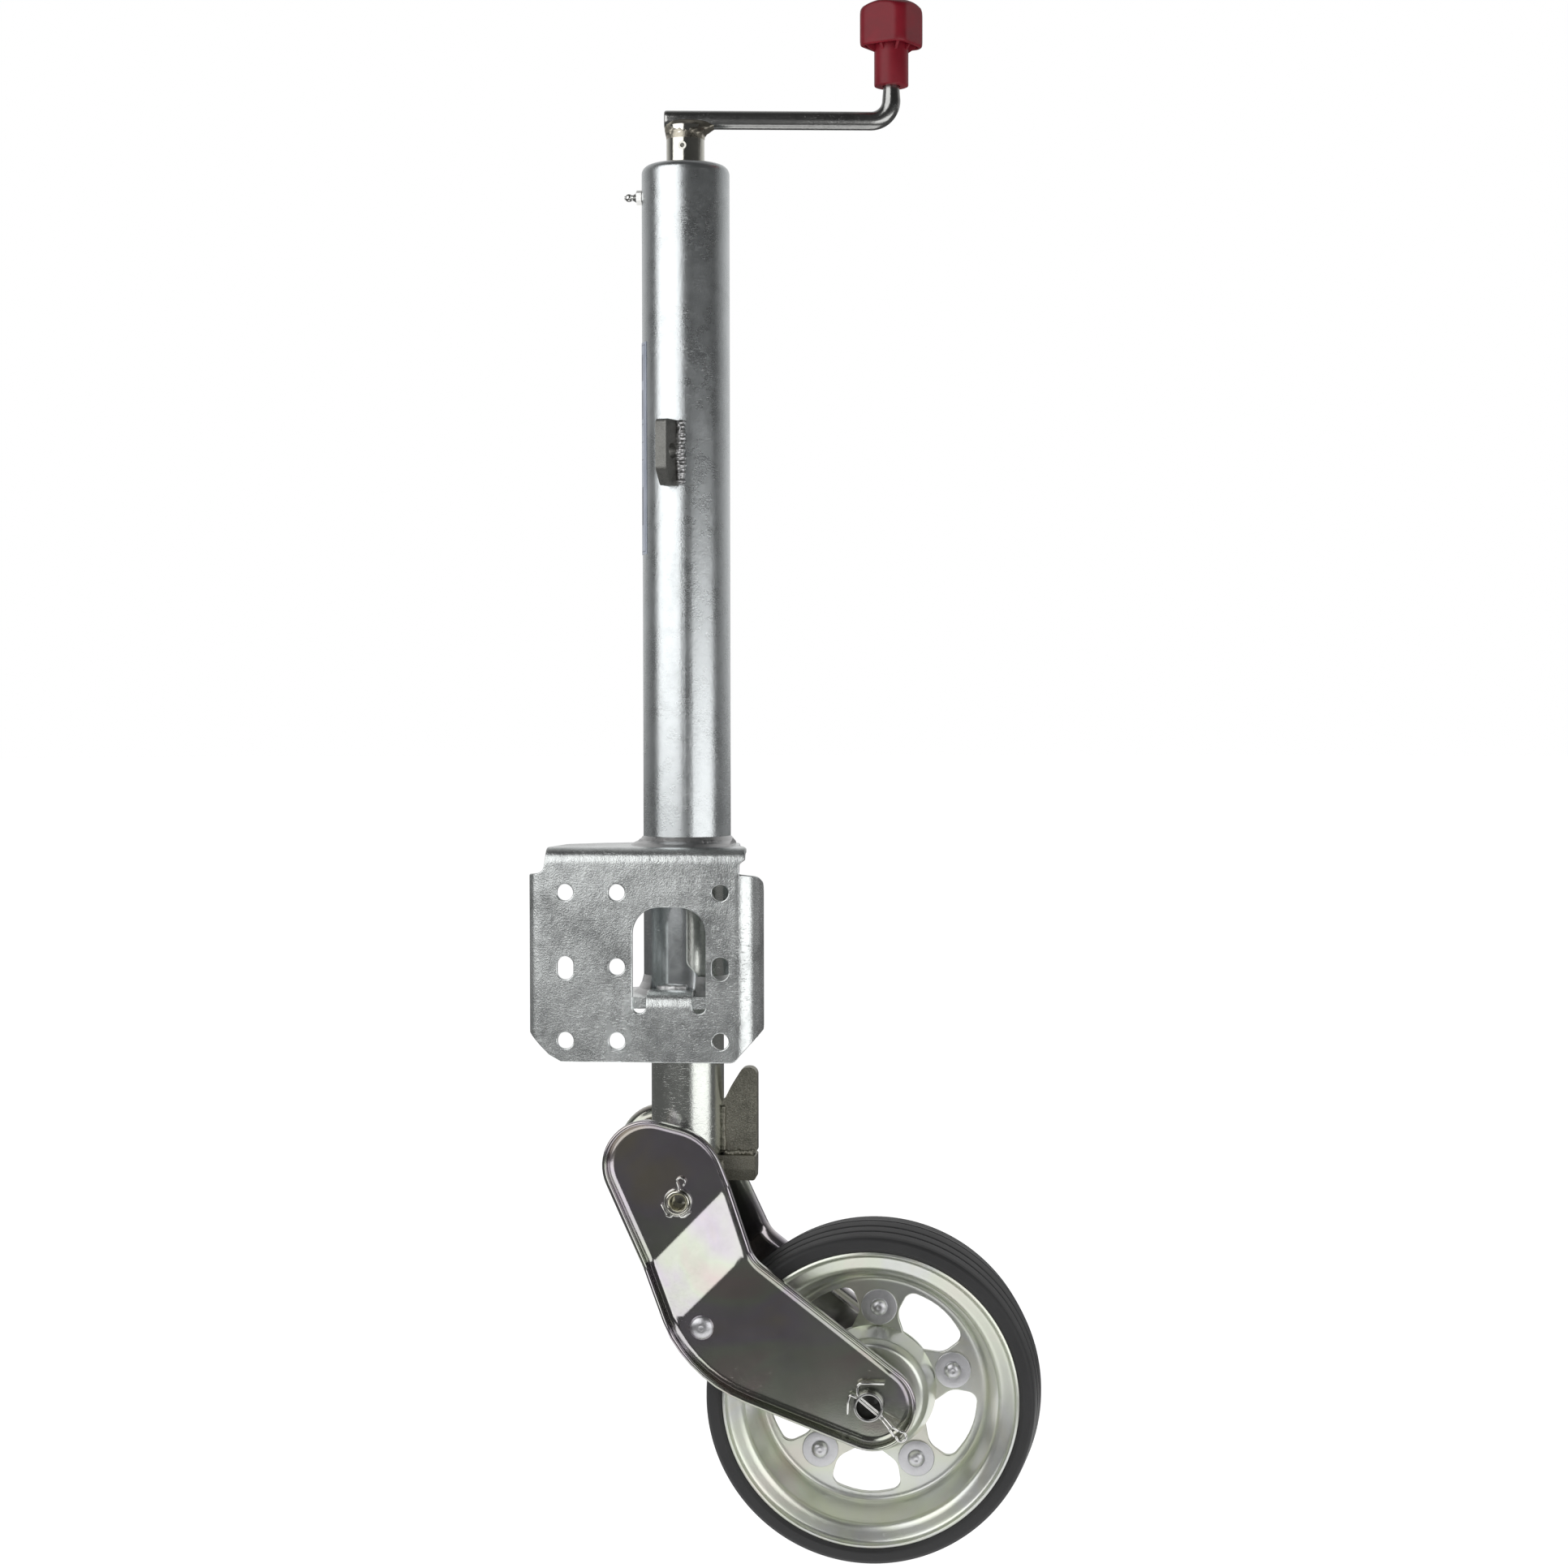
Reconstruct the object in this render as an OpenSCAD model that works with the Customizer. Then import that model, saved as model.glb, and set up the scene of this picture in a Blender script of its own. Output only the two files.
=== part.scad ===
// Trailer tongue jack: a screw jack with a swivelling leg, a folding pressed-steel fork and one wheel.
// Millimetres. Modules are drawn in the jack's own axes: tube axis at x = y = 0, ground under the tyre
// at z = 0, mounting plate facing -Y, wheel towards +X. place() then moves every node so that the
// origin is the middle of the mounting plate's four corner holes, on the plate's front face.

/* [Outer tube] */
// outside diameter of the fixed tube
tube_d = 60; // [50:1:76]
// wall thickness of the fixed tube
tube_wall = 5; // [3:0.5:6]
// height of the rolled top edge above the ground
tube_top = 950.6; // [700:0.1:1200]
// radius of the rolled top edge
tube_roll = 6; // [3:0.5:10]

/* [Bracket] */
// sheet thickness of the mounting plate
plate_t = 4; // [3:0.5:6]
// distance from the tube axis to the plate's front face
plate_face = 49; // [40:1:60]
// upper row of holes above the ground
hole_top_z = 457.5; // [400:0.5:520]
// spacing of the three hole rows
hole_row = 50; // [30:1:80]
// spacing between the two left columns
hole_col_a = 35; // [20:1:60]
// spacing between the middle and the right column
hole_col_b = 70; // [40:1:100]
// x of the left column
hole_left_x = -77; // [-100:1:-60]
// mounting hole diameter
hole_d = 11; // [8:0.5:14]
// end-to-end length of the two slots
slot_len = 15.5; // [12:0.5:20]

/* [Crank] */
// rod diameter of the crank arm
arm_d = 12.6; // [10:0.1:16]
// distance from the tube axis to the knob axis
arm_reach = 140.7; // [100:1:200]
// height of the arm's axis
arm_z = 982.2; // [900:0.1:1200]
// angle of the crank at rest, counter-clockwise from +X
crank_rest = 7; // [0:1:360]
// sleeve diameter
socket_d = 26; // [20:1:32]
// screw diameter
screw_d = 18; // [14:1:24]

/* [Leg] */
// outside diameter of the sliding tube
leg_d = 49.9; // [40:0.1:60]
// wall of the sliding tube
leg_wall = 3; // [2:0.5:5]
// height of the sliding tube's lower end
leg_low = 208; // [150:1:260]
// height of the sliding tube's upper end
leg_high = 765; // [600:1:850]

/* [Fork] */
// sheet thickness of the fork plates
fork_t = 3; // [2:0.5:5]
// height of the turned-out rim over the flat
rim_h = 10; // [6:0.5:14]
// distance from the middle plane to the upper flat's inner face
fork_in_up = 30; // [27:0.5:36]
// distance from the middle plane to the lower flat's inner face
fork_in_low = 46; // [42:0.5:60]
// height of the fold pivot
pivot_z = 246.3; // [200:0.1:300]
// x of the fold pivot
pivot_x = -3; // [-10:0.1:10]

/* [Wheel] */
// wheel diameter
wheel_d = 230; // [180:1:260]
// tyre width
tyre_w = 82; // [60:1:100]
// x of the axle
axle_x = 127.8; // [100:0.1:160]
// axle tube diameter
axle_d = 20; // [16:1:25]
// number of rivets and of rim windows
rivets = 5; // [4:1:6]

/* [Hidden] */
$fn = 96;
eps = 0.02;
fit_gap = 0.05;

tube_r = tube_d / 2;
bore_r = tube_r - tube_wall;
mid_x = hole_left_x + hole_col_a;
right_x = mid_x + hole_col_b;
hole_mid_z = hole_top_z - hole_row;
hole_low_z = hole_top_z - 2 * hole_row;
mount_x = (hole_left_x + right_x) / 2;
back_y = -plate_face + plate_t;
gusset_top = 387;
gusset_t = 8;
top_face = 487.5;
plate_left = -102.3;
plate_right = 53.2;
plate_low = 343;
bend_l = 8;
bend_r = 12;
top_left = -90.4;
top_right = 44.7;
side_top = 470;
leg_r = leg_d / 2;
arm_r = arm_d / 2;
grip_r = 5.7;
screw_r = screw_d / 2;
wheel_r = wheel_d / 2;
axle_z = wheel_r;
axle_r = axle_d / 2;
pivot_r = 8;
stop_x = 15;
stop_z = 164.7;
stop_r = 6;
fold_dir = 44.7;
joggle_a = 16;
joggle_b = 57;
rivet_c = 56.3;
rivet_at = 13.75;

module place() translate([-mount_x, plate_face, -hole_mid_z]) children();

// plane helpers
module along_y(y0, y1) translate([0, y1, 0]) rotate([90, 0, 0]) linear_extrude(y1 - y0) children();
module along_x(x0, x1) translate([x0, 0, 0]) rotate([90, 0, 90]) linear_extrude(x1 - x0) children();
module about_y() rotate([-90, 0, 0]) rotate_extrude() children();
module at_wheel() translate([axle_x, 0, axle_z]) children();
module at_pivot() translate([pivot_x, 0, pivot_z]) children();
module cyl_y(r, y0, y1) translate([0, y1, 0]) rotate([90, 0, 0]) cylinder(r = r, h = y1 - y0);
module crank_frame() rotate([0, 0, crank_rest]) children();

// round wire or bar between two points
module bar(a, b, r) {
  v = b - a;
  l = norm(v);
  translate(a) rotate([0, acos(v[2] / l), atan2(v[1], v[0])]) cylinder(r = r, h = l, $fn = 20);
}
module wire(pts, r) {
  for (i = [0 : len(pts) - 2]) bar(pts[i], pts[i + 1], r);
  if (len(pts) > 2) for (i = [1 : len(pts) - 2]) translate(pts[i]) sphere(r = r * 1.07, $fn = 20);
}

// rounded polygon [x, y, radius], counter-clockwise, moved inwards by d
function xy(p) = [p[0], p[1]];
function unit(v) = v / norm(v);
function cr(a, b) = a[0] * b[1] - a[1] * b[0];
function hit(p, u, q, v) = p + u * (cr(q - p, v) / cr(u, v));
function left_n(u) = [-u[1], u[0]];
function moved(P, i, d) =
  let (n = len(P), a = xy(P[(i + n - 1) % n]), b = xy(P[i]), c = xy(P[(i + 1) % n]),
       u = unit(b - a), v = unit(c - b))
  hit(b + d * left_n(u), u, b + d * left_n(v), v);
function turned(v, t) = [v[0] * cos(t) - v[1] * sin(t), v[0] * sin(t) + v[1] * cos(t)];
function corner(P, i, d) =
  let (n = len(P), a = moved(P, (i + n - 1) % n, d), b = moved(P, i, d), c = moved(P, (i + 1) % n, d),
       u = unit(b - a), v = unit(c - b), t = atan2(cr(u, v), u * v),
       r = max(P[i][2] + (t > 0 ? -d : d), 0.1), s = b - u * r * tan(abs(t) / 2),
       o = s + left_n(u) * r * sign(t), k = max(1, ceil(abs(t) / 7)))
  [for (j = [0 : k]) o + turned(s - o, t * j / k)];
function soft(P, d = 0) = [for (i = [0 : len(P) - 1]) each corner(P, i, d)];

// ---------- fixed frame ----------

module tube_profile() {
  difference() {
    union() {
      translate([12, gusset_top]) square([tube_r - 12, tube_top - tube_roll - gusset_top]);
      translate([12, tube_top - tube_roll - eps]) square([tube_r - tube_roll - 12, tube_roll + eps]);
      intersection() {
        translate([tube_r - tube_roll, tube_top - tube_roll]) circle(r = tube_roll);
        translate([tube_r - tube_roll, tube_top - tube_roll]) square(tube_roll);
      }
    }
    translate([0, gusset_top - 1]) square([bore_r, tube_top - tube_wall - gusset_top + 1]);
    translate([0, gusset_top]) square([15, tube_top]);
  }
}

// side opening that lets the guide fin rise beside the leg
module tube_opening() {
  along_y(-tube_r - 2, 0) polygon(soft([
    [3, 408, 6], [14, 396, 8], [40, 394, 1], [40, 470, 1], [3, 470, 5]
  ]));
  translate([18, -8.5, gusset_top - 1]) cube([20, 17, 84]);
}

module outer_tube() {
  color([0.72, 0.74, 0.76]) place() difference() {
    rotate_extrude() tube_profile();
    tube_opening();
    translate([-tube_r - 1, 0, 930]) rotate([0, 90, 0]) cylinder(r = 3, h = 8);
  }
}

module bearing_cap() {
  color([0.5, 0.5, 0.5]) place() difference() {
    translate([0, 0, 936]) cylinder(r = bore_r, h = tube_top - tube_wall - 936);
    translate([0, 0, 930]) cylinder(r = screw_r + fit_gap, h = 30);
    translate([0, 0, 941]) cylinder(r = 14, h = 10);
  }
}

module race_upper() {
  color([0.6, 0.6, 0.62]) place() difference() {
    translate([0, 0, 932]) cylinder(r = 21, h = 4);
    translate([0, 0, 931]) cylinder(r = screw_r + 0.6, h = 6);
  }
}

module thrust_balls() {
  color([0.75, 0.75, 0.78]) place() for (i = [0 : 13])
    rotate([0, 0, i * 360 / 14]) translate([15.5, 0, 929.48]) sphere(r = 2.5, $fn = 24);
}

// mounting plate, one folded sheet
plate_outline = [
  [plate_left + bend_l, 359, 1], [-88, 347.5, 6], [-80, plate_low, 5], [38, plate_low, 7],
  [plate_right - bend_r, 347, 1], [plate_right - bend_r, side_top, 1], [top_right, side_top, 1],
  [top_right, top_face - 7, 0.3], [top_left, top_face - 7, 0.3], [top_left, side_top, 1],
  [plate_left + bend_l, side_top, 1]
];
window = [
  [-31.4, 376.3, 4.4], [-22.4, 376.3, 4.4], [-22.4, 386, 0.3], [9, 386, 0.3], [9, 376.3, 4.4],
  [18, 376.3, 4.4], [18, 447.5, 18], [-31.4, 447.5, 18]
];

module hole_y(x, z, r) translate([x, 0, z]) cyl_y(r, -plate_face - 2, back_y + 2);
module slot_y(x, z) {
  h = (slot_len - hole_d) / 2;
  hole_y(x, z - h, hole_d / 2);
  hole_y(x, z + h, hole_d / 2);
  translate([x - hole_d / 2, -plate_face - 2, z - h]) cube([hole_d, plate_t + 4, 2 * h]);
}
module plate_holes() {
  for (x = [hole_left_x, mid_x, right_x]) {
    hole_y(x, hole_top_z, hole_d / 2);
    hole_y(x, hole_low_z, hole_d / 2);
  }
  hole_y(mid_x, hole_mid_z, hole_d / 2);
  slot_y(hole_left_x, hole_mid_z - 1);
  slot_y(right_x, hole_mid_z - 1);
}

// quarter bend about an upright axis, between two heights
module upright_bend(x, y, r, z0, z1, sx) {
  translate([x, y, z0]) intersection() {
    difference() {
      cylinder(r = r, h = z1 - z0);
      translate([0, 0, -1]) cylinder(r = r - plate_t, h = z1 - z0 + 2);
    }
    translate([sx > 0 ? 0 : -r - 1, -r - 1, -1]) cube([r + 1, r + 1, z1 - z0 + 2]);
  }
}
module level_bend(x0, x1, y, z, r) {
  translate([x0, y, z]) rotate([0, 90, 0]) intersection() {
    difference() {
      cylinder(r = r, h = x1 - x0);
      translate([0, 0, -1]) cylinder(r = r - plate_t, h = x1 - x0 + 2);
    }
    translate([-r - 1, -r - 1, -1]) cube([r + 1, r + 1, x1 - x0 + 2]);
  }
}
module top_flange() {
  difference() {
    translate([0, 0, top_face - plate_t]) linear_extrude(plate_t) polygon(soft([
      [top_left, back_y + 3, 0.2], [top_right, back_y + 3, 0.2], [42.5, -26, 10],
      [35.6, -2, 12], [34, 26, 10], [24, 38, 8], [-24, 38, 8], [-62, 22, 10], [top_left + 6, 4, 6]
    ]));
    translate([0, 0, top_face - plate_t - 1]) cylinder(r = tube_r, h = plate_t + 2);
  }
}
module side_flange(x0, back, low) {
  translate([x0, -plate_face + (x0 > 0 ? bend_r : bend_l), 0])
    translate([0, 0, low]) cube([plate_t, plate_face - (x0 > 0 ? bend_r : bend_l) + back, side_top - low]);
}
module mounting_plate() {
  yb = -plate_face;
  color([0.7, 0.73, 0.75]) place() difference() {
    union() {
      difference() {
        along_y(-plate_face, back_y) polygon(soft(plate_outline));
        along_y(-plate_face - 1, back_y + 1) polygon(soft(window));
      }
      upright_bend(plate_right - bend_r, yb + bend_r, bend_r, plate_low, side_top, 1);
      upright_bend(plate_left + bend_l, yb + bend_l, bend_l, plate_low, side_top, -1);
      side_flange(plate_right - plate_t, -3, plate_low);
      side_flange(plate_left, -6, plate_low);
      level_bend(top_left, top_right, yb + 7, top_face - 7, 7);
      translate([top_left, yb + 7 - eps, top_face - plate_t])
        cube([top_right - top_left, back_y + 3 - yb - 7 + 2 * eps, plate_t]);
      top_flange();
      // tongue folded back out of the window
      translate([0, 0, 0]) level_bend(-22.4, 9, yb + 6, 380, 6);
      along_x(-22.4, 9) polygon([
        [yb + 6 - eps, 382], [-30.2, 382], [-30.2, 386], [yb + 6 - eps, 386]
      ]);
    }
    plate_holes();
    // cut corners below
    along_y(-60, 20) polygon([[36, 338], [60, 338], [60, 366], [56, 364], [40, 346.5], [38, 343]]);
    along_y(-60, 20) polygon([[-106, 338], [-80, 338], [-80, 343], [-88, 347.5], [-104, 364]]);
    // the tongue's strip is cut free of the sheet below the fold
    along_y(-plate_face - 1, back_y + 1) polygon(soft([
      [-31.4, 376.3, 4.4], [-22.4, 376.3, 4.4], [-22.4, 390, 0.3], [-31.4, 390, 0.3]
    ]));
    along_y(-plate_face - 1, back_y + 1) polygon(soft([
      [9, 376.3, 4.4], [18, 376.3, 4.4], [18, 390, 0.3], [9, 390, 0.3]
    ]));
  }
}

module lower_gusset() {
  color([0.62, 0.64, 0.66]) place() difference() {
    translate([0, 0, gusset_top - gusset_t]) linear_extrude(gusset_t) polygon(soft([
      [-46, back_y, 1], [38, back_y, 1], [40, -20, 8], [38, 24, 10], [22, 37, 10], [-22, 37, 10],
      [-46, 16, 10]
    ]));
    translate([0, 0, gusset_top - gusset_t - 1]) cylinder(r = leg_r + 0.35, h = gusset_t + 2);
    translate([18, -8.5, gusset_top - gusset_t - 1]) cube([30, 17, gusset_t + 2]);
    // room for the tongue, which lies in the top of the strap
    translate([-22.5, back_y - 1, 381.9]) cube([31.6, -30.1 - back_y + 1, gusset_t]);
    translate([-22.5, back_y - 1, 370]) cube([31.6, 3.05, 20]);
  }
}

module bracket_welds() {
  color([0.66, 0.66, 0.66]) place() {
    // bead round the tube on the top flange
    difference() {
      rotate_extrude() polygon([
        [tube_r, top_face], [tube_r + 9, top_face], [tube_r + 6.4, top_face + 1.8],
        [tube_r + 2.4, top_face + 3.6], [tube_r + 0.6, top_face + 6], [tube_r, top_face + 6.4]
      ]);
      translate([-50, 32.5, top_face - 1]) cube([100, 30, 10]);
      translate([31.6, -60, top_face - 1]) cube([20, 100, 10]);
    }
    // fillet that flares the tube's foot onto the strap
    difference() {
      rotate_extrude() polygon([
        [tube_r, gusset_top], [tube_r + 7, gusset_top], [tube_r + 3.4, gusset_top + 2.6],
        [tube_r + 1.2, gusset_top + 7], [tube_r, gusset_top + 12]
      ]);
      translate([-22.6, -60, 380]) cube([31.8, 40, 30]);
      translate([18, -8.5, 380]) cube([30, 17, 30]);
      translate([36, -60, 380]) cube([30, 120, 30]);
    }
    along_x(-17, 4) polygon([[-30.3, 386], [-33.2, 386], [-32.6, 387.2], [-30.9, 388.9], [-30.3, 389.4]]);
  }
}

// eye plate for the safety cable
module lug_frame() translate([-3.5, -24, 0]) rotate([0, 0, -110]) children();
module safety_lug() {
  color([0.6, 0.6, 0.58]) place() difference() {
    lug_frame() translate([0, 4, 0]) rotate([90, 0, 0]) linear_extrude(8) polygon(soft([
      [0, 731, 1], [17, 731, 2], [23.5, 742, 4], [23.5, 775, 3], [0, 775, 1]
    ]));
    cylinder(r = tube_r, h = 1000);
    lug_frame() translate([14.2, 6, 754]) rotate([90, 0, 0]) cylinder(r = 5.2, h = 12);
  }
}
module weld_bead(x, y, z0, z1, r) translate([x, y, 0]) rotate_extrude($fn = 40) polygon([
  [0, z0 - r], [r * 0.7, z0 - r * 0.7], [r, z0], [r * 0.86, z0 + 9], [r, z0 + 18], [r * 0.9, z0 + 27],
  [r, z1], [r * 0.7, z1 + r * 0.7], [0, z1 + r]
]);
module lug_weld() {
  color([0.66, 0.66, 0.64]) place() difference() {
    lug_frame() {
      weld_bead(5.4, 5.9, 733, 774, 3.4);
      weld_bead(7.6, -5.5, 733, 774, 2.8);
    }
    cylinder(r = tube_r, h = 1000);
    lug_frame() translate([-1, -4, 720]) cube([30, 8, 70]);
  }
}

module grease_nipple() {
  color([0.8, 0.8, 0.8]) place() translate([-tube_r + 2, 0, 930]) rotate([0, -90, 0]) {
    cylinder(r = 3, h = 2.4);
    translate([0, 0, 1.4]) difference() {
      cylinder(r = 5, h = 4.2, $fn = 6);
      translate([0, 0, -2]) cylinder(r = 8, h = 2.7);
    }
    translate([0, 0, 5.5]) cylinder(r1 = 3.6, r2 = 1.9, h = 2.6);
    translate([0, 0, 8]) cylinder(r = 1.9, h = 2.4);
    translate([0, 0, 11]) sphere(r = 2.7);
    translate([0, 0, 12.4]) cylinder(r = 1.2, h = 1.6);
  }
}

module rating_label() {
  color([0.55, 0.6, 0.7]) place() translate([0, 0, 686]) rotate([0, 0, 128])
    rotate_extrude(angle = 85.6) translate([tube_r + eps, 0]) square([0.3, 144]);
}

// ---------- crank and screw ----------

module crank_arm() {
  b = 14;
  color([0.3, 0.3, 0.3]) place() crank_frame() {
    translate([-14.6, 0, arm_z]) rotate([0, 90, 0]) cylinder(r = arm_r, h = arm_reach + 14.6 - b);
    translate([arm_reach - b, 0, arm_z + b]) rotate([90, 0, 0]) rotate([0, 0, -90])
      rotate_extrude(angle = 90) translate([b, 0]) circle(r = arm_r, $fn = 48);
    translate([arm_reach, 0, arm_z + b]) cylinder(r1 = arm_r, r2 = grip_r, h = 5);
    translate([arm_reach, 0, arm_z + b + 5]) cylinder(r = grip_r, h = 1043 - arm_z - b);
  }
}

module crank_socket() {
  color([0.75, 0.74, 0.66]) place() crank_frame() difference() {
    translate([0, 0, 950.9]) cylinder(r = socket_d / 2, h = arm_z - arm_r - 950.9 + 1.6);
    translate([0, 0, 945]) cylinder(r = screw_r + fit_gap, h = 27.1);
    translate([-40, 0, arm_z]) rotate([0, 90, 0]) cylinder(r = arm_r, h = 80);
    rotate([0, 0, -crank_rest - 93]) translate([0, 0, 962.8]) rotate([0, 90, 0])
      cylinder(r = 2.8, h = 60, center = true, $fn = 32);
  }
}

module crank_weld() {
  color([0.5, 0.47, 0.4]) place() crank_frame() {
    rotate_extrude() polygon([
      [socket_d / 2, 968.4], [socket_d / 2 + 1.4, 970.5], [socket_d / 2 + 2.6, 973.5],
      [socket_d / 2 + 2.2, 975.2], [socket_d / 2, 975.6]
    ]);
    for (s = [-1, 1]) for (t = [-1, 1]) translate([0, t * 5.4, 0]) difference() {
      translate([s < 0 ? -12.9 : 16.2, 0, 977.8]) sphere(r = s < 0 ? 2.6 : 3.1, $fn = 40);
      translate([-40, -t * 5.4, arm_z]) rotate([0, 90, 0]) cylinder(r = arm_r, h = 90);
      translate([0, -t * 5.4, 940]) cylinder(r = socket_d / 2 + 0.05, h = 39);
      translate([-40, -20, 970]) cube([80, 40, 5.7]);
    }
  }
}

module socket_pin() {
  color([0.5, 0.5, 0.5]) place() rotate([0, 0, -93]) translate([0, 0, 962.8]) rotate([0, 90, 0])
    difference() {
      cylinder(r = 2.8 - eps, h = 25.8, center = true, $fn = 32);
      cylinder(r = 1.5, h = 40, center = true, $fn = 32);
    }
}

module screw_spindle() {
  color([0.55, 0.55, 0.55]) place() difference() {
    translate([0, 0, 508]) cylinder(r = screw_r, h = 972 - 508);
    rotate([0, 0, -93]) translate([0, 0, 962.8]) rotate([0, 90, 0])
      cylinder(r = 2.8, h = 60, center = true, $fn = 32);
    translate([0, 0, 512]) rotate([90, 0, 0]) cylinder(r = 2, h = 60, center = true, $fn = 32);
  }
}

module ring_z(ro, ri, z0, z1) difference() {
  translate([0, 0, z0]) cylinder(r = ro, h = z1 - z0);
  translate([0, 0, z0 - 1]) cylinder(r = ri, h = z1 - z0 + 2);
}
module spindle_collar() color([0.5, 0.5, 0.5]) place() ring_z(19, screw_r, 914, 922.9);
module race_lower() color([0.6, 0.6, 0.62]) place() ring_z(21, screw_r, 922.9, 926.94);
module spindle_stop() color([0.5, 0.5, 0.5]) place() ring_z(16, screw_r, 514.4, 519);
module stop_cotter() {
  color([0.7, 0.7, 0.7]) place() translate([0, 0, 512]) rotate([90, 0, 0])
    cylinder(r = 2, h = 30, center = true, $fn = 32);
}

// ---------- grip ----------

module rounded_square(w, r) {
  square([w, w - 2 * r], center = true);
  square([w - 2 * r, w], center = true);
  for (x = [-1, 1], y = [-1, 1]) translate([x * (w / 2 - r), y * (w / 2 - r)]) circle(r = r);
}
module grip_knob() {
  z0 = 1005.7;
  z1 = 1031;
  z2 = 1063.4;
  t = -34;
  color([0.5, 0.08, 0.12]) place() crank_frame() translate([arm_reach, 0, 0]) difference() {
    union() {
      translate([0, 0, z0]) cylinder(r = 11.7, h = z2 - z0 - 4);
      intersection() {
        translate([0, 0, z1]) linear_extrude(z2 - z1) rotate(t) rounded_square(35.6, 8);
        rotate_extrude() polygon([
          [0, z1], [19.2, z1], [21, z1 + 2.2], [22, z1 + 4.5], [22, z2 - 12], [19.6, z2 - 6],
          [15.8, z2 - 2.2], [11.6, z2], [0, z2]
        ]);
      }
    }
    translate([0, 0, z0 - 1]) cylinder(r = grip_r + fit_gap, h = 1049.4 - z0 + 1);
    // hollow underside between the stem and the skirt, with eight ribs left standing
    difference() {
      translate([0, 0, z1 - 1]) linear_extrude(19) rotate(t) rounded_square(29.8, 5.4);
      translate([0, 0, z1 - 2]) cylinder(r = 11.7, h = 24);
      for (i = [0 : 7]) rotate([0, 0, i * 45 + t]) translate([0, -0.9, z1 + 2]) cube([30, 1.8, 24]);
    }
  }
}

// ---------- nut carrier ----------

module lift_nut() {
  color([0.6, 0.5, 0.25]) place() difference() {
    union() {
      translate([0, 0, leg_high - 30]) cylinder(r = leg_r - leg_wall - fit_gap, h = 31);
      translate([0, 0, leg_high + 1.2]) cylinder(r = leg_r - 0.4, h = 6);
      translate([0, 0, leg_high]) cylinder(r = 20, h = 2);
    }
    translate([0, 0, 700]) cylinder(r = screw_r + fit_gap, h = 100);
  }
}
module nut_washer() color([0.6, 0.6, 0.6]) place() ring_z(leg_r - 0.4, 22, leg_high + 0.1, leg_high + 1.2);

// ---------- leg ----------

module pivot_hole(r) at_pivot() cyl_y(r, -60, 60);
module inner_tube() {
  color([0.75, 0.76, 0.74]) place() difference() {
    translate([0, 0, leg_low]) cylinder(r = leg_r, h = leg_high - leg_low);
    translate([0, 0, leg_low - 1]) cylinder(r = leg_r - leg_wall, h = leg_high - leg_low + 2);
    pivot_hole(11);
    translate([0, 0, leg_high - 33.2]) cylinder(r = leg_r - 1.5, h = 2.2);
  }
}
module snap_ring() color([0.4, 0.4, 0.4]) place() difference() {
  ring_z(leg_r - 1.5, 18.6, leg_high - 33.1, leg_high - 31.1);
  translate([0, -4, leg_high - 40]) cube([40, 8, 20]);
}

module guide_fin() {
  color([0.55, 0.54, 0.45]) place() difference() {
    along_y(-6, 6) polygon(soft([
      [20, 276.5, 0.5], [48.4, 276.5, 2], [48.4, 335, 5.5], [38.6, 335, 6], [30.5, 322, 30],
      [24.2, 309, 12], [20, 309, 1]
    ]));
    translate([0, 0, 200]) cylinder(r = leg_r, h = 200);
  }
}
module stop_block() {
  color([0.52, 0.51, 0.42]) place() difference() {
    intersection() {
      along_x(18, 47.7) polygon([
        [-11, 265.6], [-8, 257.5], [8, 257.5], [11, 265.6], [11, 275], [-11, 275]
      ]);
      along_y(-20, 20) polygon(soft([
        [18, 257.5, 1], [47.7, 257.5, 2.5], [47.7, 275, 1], [18, 275, 1]
      ]));
    }
    translate([0, 0, 200]) cylinder(r = leg_r, h = 200);
  }
}
module fin_weld() {
  color([0.5, 0.5, 0.44]) place() difference() {
    union() {
      for (i = [0 : 5]) translate([27.5 + i * 3.7, -6.5, 275.6 + (i % 2) * 0.8])
        sphere(r = 2.3, $fn = 32);
      for (i = [0 : 5]) translate([27.5 + i * 3.7, 6.5, 275.8]) sphere(r = 2.3, $fn = 32);
      translate([25.2, -6, 277]) cylinder(r = 1.6, h = 33);
      translate([25.2, 6, 277]) cylinder(r = 1.6, h = 33);
      translate([24, -10.4, 259]) cylinder(r = 1.8, h = 15);
      translate([24, 10.4, 259]) cylinder(r = 1.8, h = 15);
    }
    translate([0, 0, 200]) cylinder(r = leg_r, h = 200);
    translate([18, -6, 276.5]) cube([40, 12, 60]);
    along_x(18, 47.7) polygon([
      [-11, 265.6], [-8, 257.5], [8, 257.5], [11, 265.6], [11, 275], [-11, 275]
    ]);
    translate([18, -6, 274]) cube([40, 12, 3]);
    translate([18, -30, 250]) cube([30, 60, 9]);
  }
}
module pivot_bush() {
  color([0.45, 0.45, 0.42]) place() at_pivot() difference() {
    cyl_y(11, -fork_in_up + 0.1, fork_in_up - 0.1);
    cyl_y(pivot_r + fit_gap, -60, 60);
  }
}
module stop_foot() {
  color([0.45, 0.45, 0.42]) place() difference() {
    along_y(-13, 13) polygon(soft([
      [-1, 158, 3], [stop_x - stop_r - 0.02, 158, 2], [stop_x - stop_r - 0.02, 202, 3], [17.6, 206, 2],
      [17.6, 232, 1], [-13, 232, 1], [-13, 206, 3], [-1, 200, 4]
    ]));
    at_pivot() cyl_y(11, -60, 60);
  }
}

// ---------- fork ----------

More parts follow.
